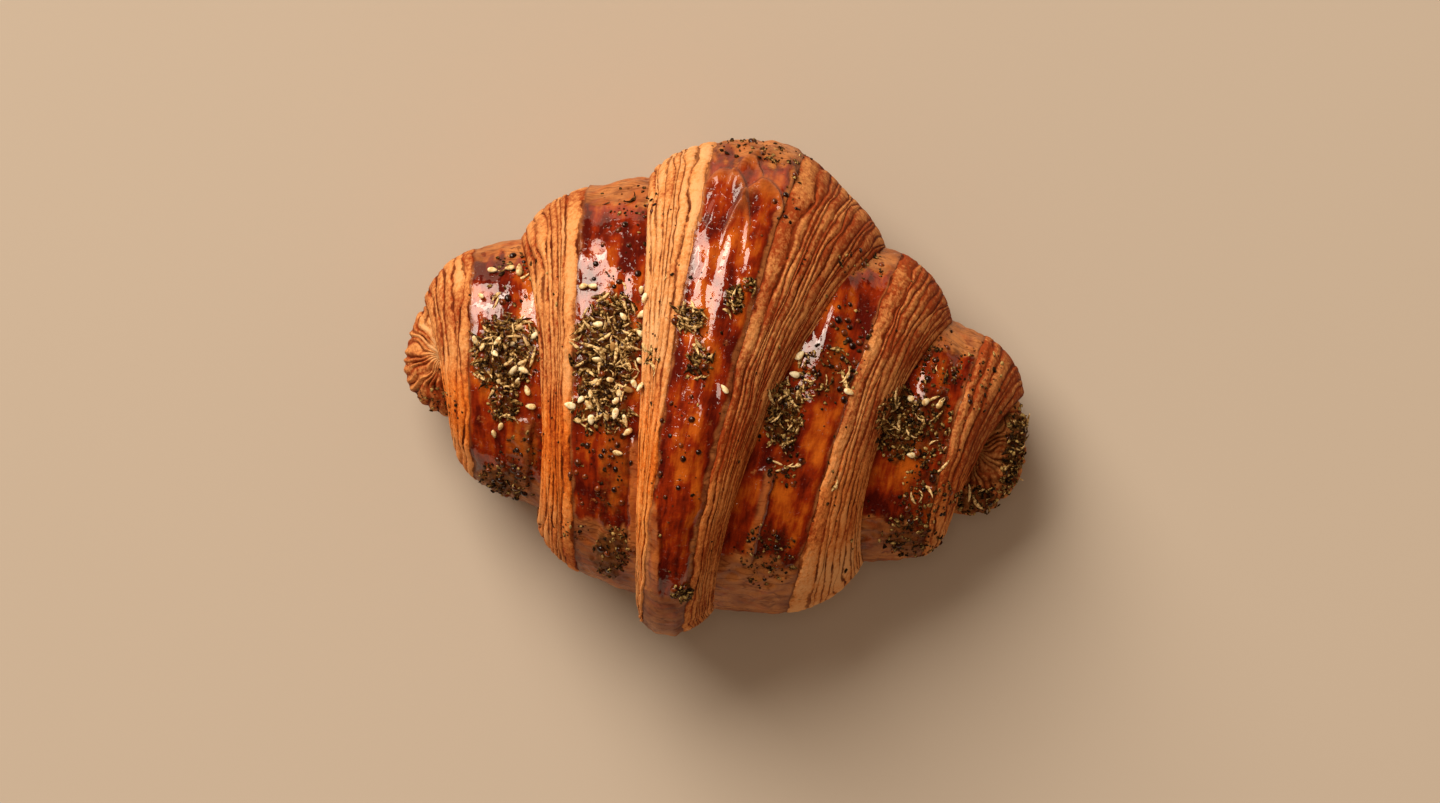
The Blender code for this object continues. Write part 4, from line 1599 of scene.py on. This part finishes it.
def middle_turn() -> Turn:
    """The turn below, which shows as a band on each side of the crown.

    Returns:
        The turn, not yet built.
    """
    return Turn(
        "middle_turn",
        Hoop(x=(-37.6, -40.9, -51.3, -43.0), y=(-37.0, 27.1), z=(-2.0, 25.0, 49.5)),
        Hoop(x=(-25.6, -33.6, -36.9, -30.0), y=(-48.0, 41.8), z=(-9.0, 26.0, 61.5), waver=0.3),
        Hoop(x=(23.9, 28.9, 38.1, 30.0), y=(-50.2, 37.6), z=(-9.0, 26.0, 60.0), waver=0.3),
        Hoop(x=(40.2, 39.3, 52.5, 43.0), y=(-35.6, 23.1), z=(-2.0, 25.0, 47.0)),
        swell=2.6, bed=0.5, segments=330,
        left=Layers(8, 0.6, 0.25, 72, 0.57, 321),
        right=Layers(11, 0.24, 0.24, 86, 0.66, 423, loose=0.06, lean=0.38, soaked=0.5),
        washes=(Wash(-35.5, 37.8, 0.2, 30.0, 63), Wash(-37.5, 31.5, 30.0, 0.2, 64)),
        shown=((0.0, 0.34, 52), (0.34, 0.62, 4), (0.62, 1.0, 56)),
        flaps=(Flap((15.9, 13.4), (-17.0, -40.0), 0.8, 91, ledge=2.6),
               Flap((-18.0, -14.8), (-15.0, -41.0), 0.9, 95, side=1, ledge=3.0)),
        swellings=(Swelling(3.2, 0.15, 1.5, 0.45, 3.4), Swelling(3.2, 0.25, 0.85, 0.35, 1.5),
                   Swelling(3.87, 0.04, 0.6, 0.45, 1.5)),
        ridges=(17.0, 9.6, 0.30), lumps=0.13, seed=15)


def outer_turn() -> Turn:
    """The turn below that, which shows as the outer bands.

    Returns:
        The turn, not yet built.
    """
    return Turn(
        "outer_turn",
        Hoop(x=(-61.3, -65.8, -72.2, -66.0), y=(-18.1, 10.1), z=(6.0, 18.0, 31.0)),
        Hoop(x=(-53.2, -58.4, -61.3, -56.0), y=(-30.4, 23.5), z=(1.0, 21.0, 43.0), waver=0.3),
        Hoop(x=(53.5, 55.1, 60.6, 55.0), y=(-32.4, 21.4), z=(1.0, 21.0, 43.0), waver=0.3),
        Hoop(x=(59.4, 62.9, 72.2, 64.0), y=(-23.4, 9.0), z=(5.0, 18.0, 31.5)),
        swell=8.0, bed=1.0, segments=270,
        left=Layers(6, 0.45, 0.20, 48, 0.54, 525),
        right=Layers(7, 0.30, 0.18, 44, 0.88, 627, lean=0.20, soaked=0.5),
        washes=(Wash(-27.5, 22.0, 0.2, 60.0, 65), Wash(-25.0, 16.0, 60.0, 0.2, 66)),
        shown=((0.0, 0.2, 50), (0.2, 0.8, 6), (0.8, 1.0, 50)),
        flaps=(Flap((-41.8, -40.6), (-14.0, -31.0), 0.8, 93),),
        swellings=(Swelling(3.09, 0.07, 1.5, 0.5, 1.6), Swelling(3.935, 0.026, 0.6, 0.5, 1.2)),
        ridges=(13.0, 7.4, 0.22), lumps=0.27, seed=25)


def tips() -> Tips:
    """The innermost turn, which ends in the two tips.

    Returns:
        The tips, not yet built.
    """
    return Tips(
        "tips",
        (Hoop(x=(-61, -66, -71, -66), y=(-16.6, 8.6), z=(7, 17.5, 29)),
         Hoop(x=(61, 63, 70, 64), y=(-21.4, 7.4), z=(6, 17.5, 29.5))),
        (Hoop(x=(-74.6,) * 4, y=(-4.4, -4.4), z=(17,) * 3),
         Hoop(x=(74.6,) * 4, y=(-6.4, -6.4), z=(17,) * 3)),
        knots=((-65.5, -2.5), (61.5, -6.0)), bed=1.5, segments=240, rings=60, wrinkles=26, relief=0.26)


def toppings() -> list[Topping]:
    """The five kinds of topping.

    Returns:
        One topping of each kind.
    """
    sesame = GrainFinish("sesame_hull", (0.420, 0.2300, 0.0704), (0.720, 0.5405, 0.2432),
                         (0.920, 0.8510, 0.5632), 0.45, 900.0, coat=0.15)
    leaf = GrainFinish("dried_leaf", (0.020, 0.0060, 0.0008), (0.250, 0.1300, 0.0290),
                       (0.860, 0.6400, 0.3000), 0.6, 1300.0)
    flake = GrainFinish("crushed_leaf", (0.014, 0.0050, 0.0008), (0.125, 0.0625, 0.0135),
                        (0.500, 0.3500, 0.1200), 0.6, 1500.0)
    crumb = GrainFinish("red_crumb", (0.018, 0.0057, 0.0013), (0.070, 0.0207, 0.0051),
                        (0.200, 0.0633, 0.0179), 0.5, 1500.0)
    bead = GrainFinish("dark_bead", (0.014, 0.0034, 0.0013), (0.070, 0.0138, 0.0026),
                       (0.200, 0.0414, 0.0064), 0.3, 700.0, coat=0.7)
    return [
        Topping("sesame_seeds", Kind.SESAME, (2.55, 1.45, 0.95), spread=0.12, sink=0.25, lean=0.3,
                finish=sesame, slot="sesame", gap=1.7, seed=11, seen=SEEDS_SEEN),
        Topping("rolled_leaves", Kind.CURL, (4.0, 0.52, 0.42), spread=0.45, sink=0.2, lean=0.4,
                finish=leaf, slot="dried_herb", seed=12),
        Topping("leaf_flakes", Kind.FLAKE, (1.2, 0.75, 0.4), spread=0.45, sink=0.3, lean=0.5,
                finish=flake, slot="dried_herb", dull=1.6, seed=13),
        Topping("red_crumbs", Kind.CRUMB, (0.55, 0.45, 0.35), spread=0.5, sink=0.4, lean=0.4,
                finish=crumb, slot="dark_crumb", seed=14),
        Topping("dark_beads", Kind.BEAD, (1.5, 1.35, 1.05), spread=0.3, sink=0.5, lean=0.2,
                finish=bead, slot="dark_crumb", gap=1.3, seed=15)]


def surface_of(objects: Sequence[bpy.types.Object]) -> BVHTree:
    """Gathers the faces of several skins, for dropping pieces on.

    Args:
        objects: the skins.

    Returns:
        One tree of their faces.
    """
    form = bmesh.new()
    for obj in objects:
        form.from_mesh(obj.data)
    tree = BVHTree.FromBMesh(form)
    form.free()
    return tree


def mount(obj: bpy.types.Object, material: bpy.types.Material) -> None:
    """Puts a finished piece in the scene, on its body and in place of the solid.

    Args:
        obj: the piece.
        material: its finish.
    """
    obj.data.materials.clear()
    obj.data.materials.append(material)
    bpy.context.scene.collection.objects.link(obj)
    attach(obj, BODY)
    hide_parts(NODE)
    LOG.info("%s: %d faces", obj.name, len(obj.data.polygons))


def main() -> None:
    """Builds the croissant, its toppings and the studio."""
    logging.basicConfig(level=logging.INFO, format="%(relativeCreated)6d ms %(name)s: %(message)s")
    skins = [turn.build() for turn in (crown_turn(), middle_turn(), outer_turn(), tips())]
    settling = Settling.into(skins, *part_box(NODE))
    for skin in skins:
        settling.apply(skin)
    dough = DoughFinish().material()
    for skin in skins:
        mount(skin, dough)
    surface = surface_of(skins)
    for topping in toppings():
        mount(topping.build(surface), topping.finish.material())
    studio = Studio()
    studio.camera()
    studio.ground()
    studio.light()


if __name__ == "__main__":
    main()
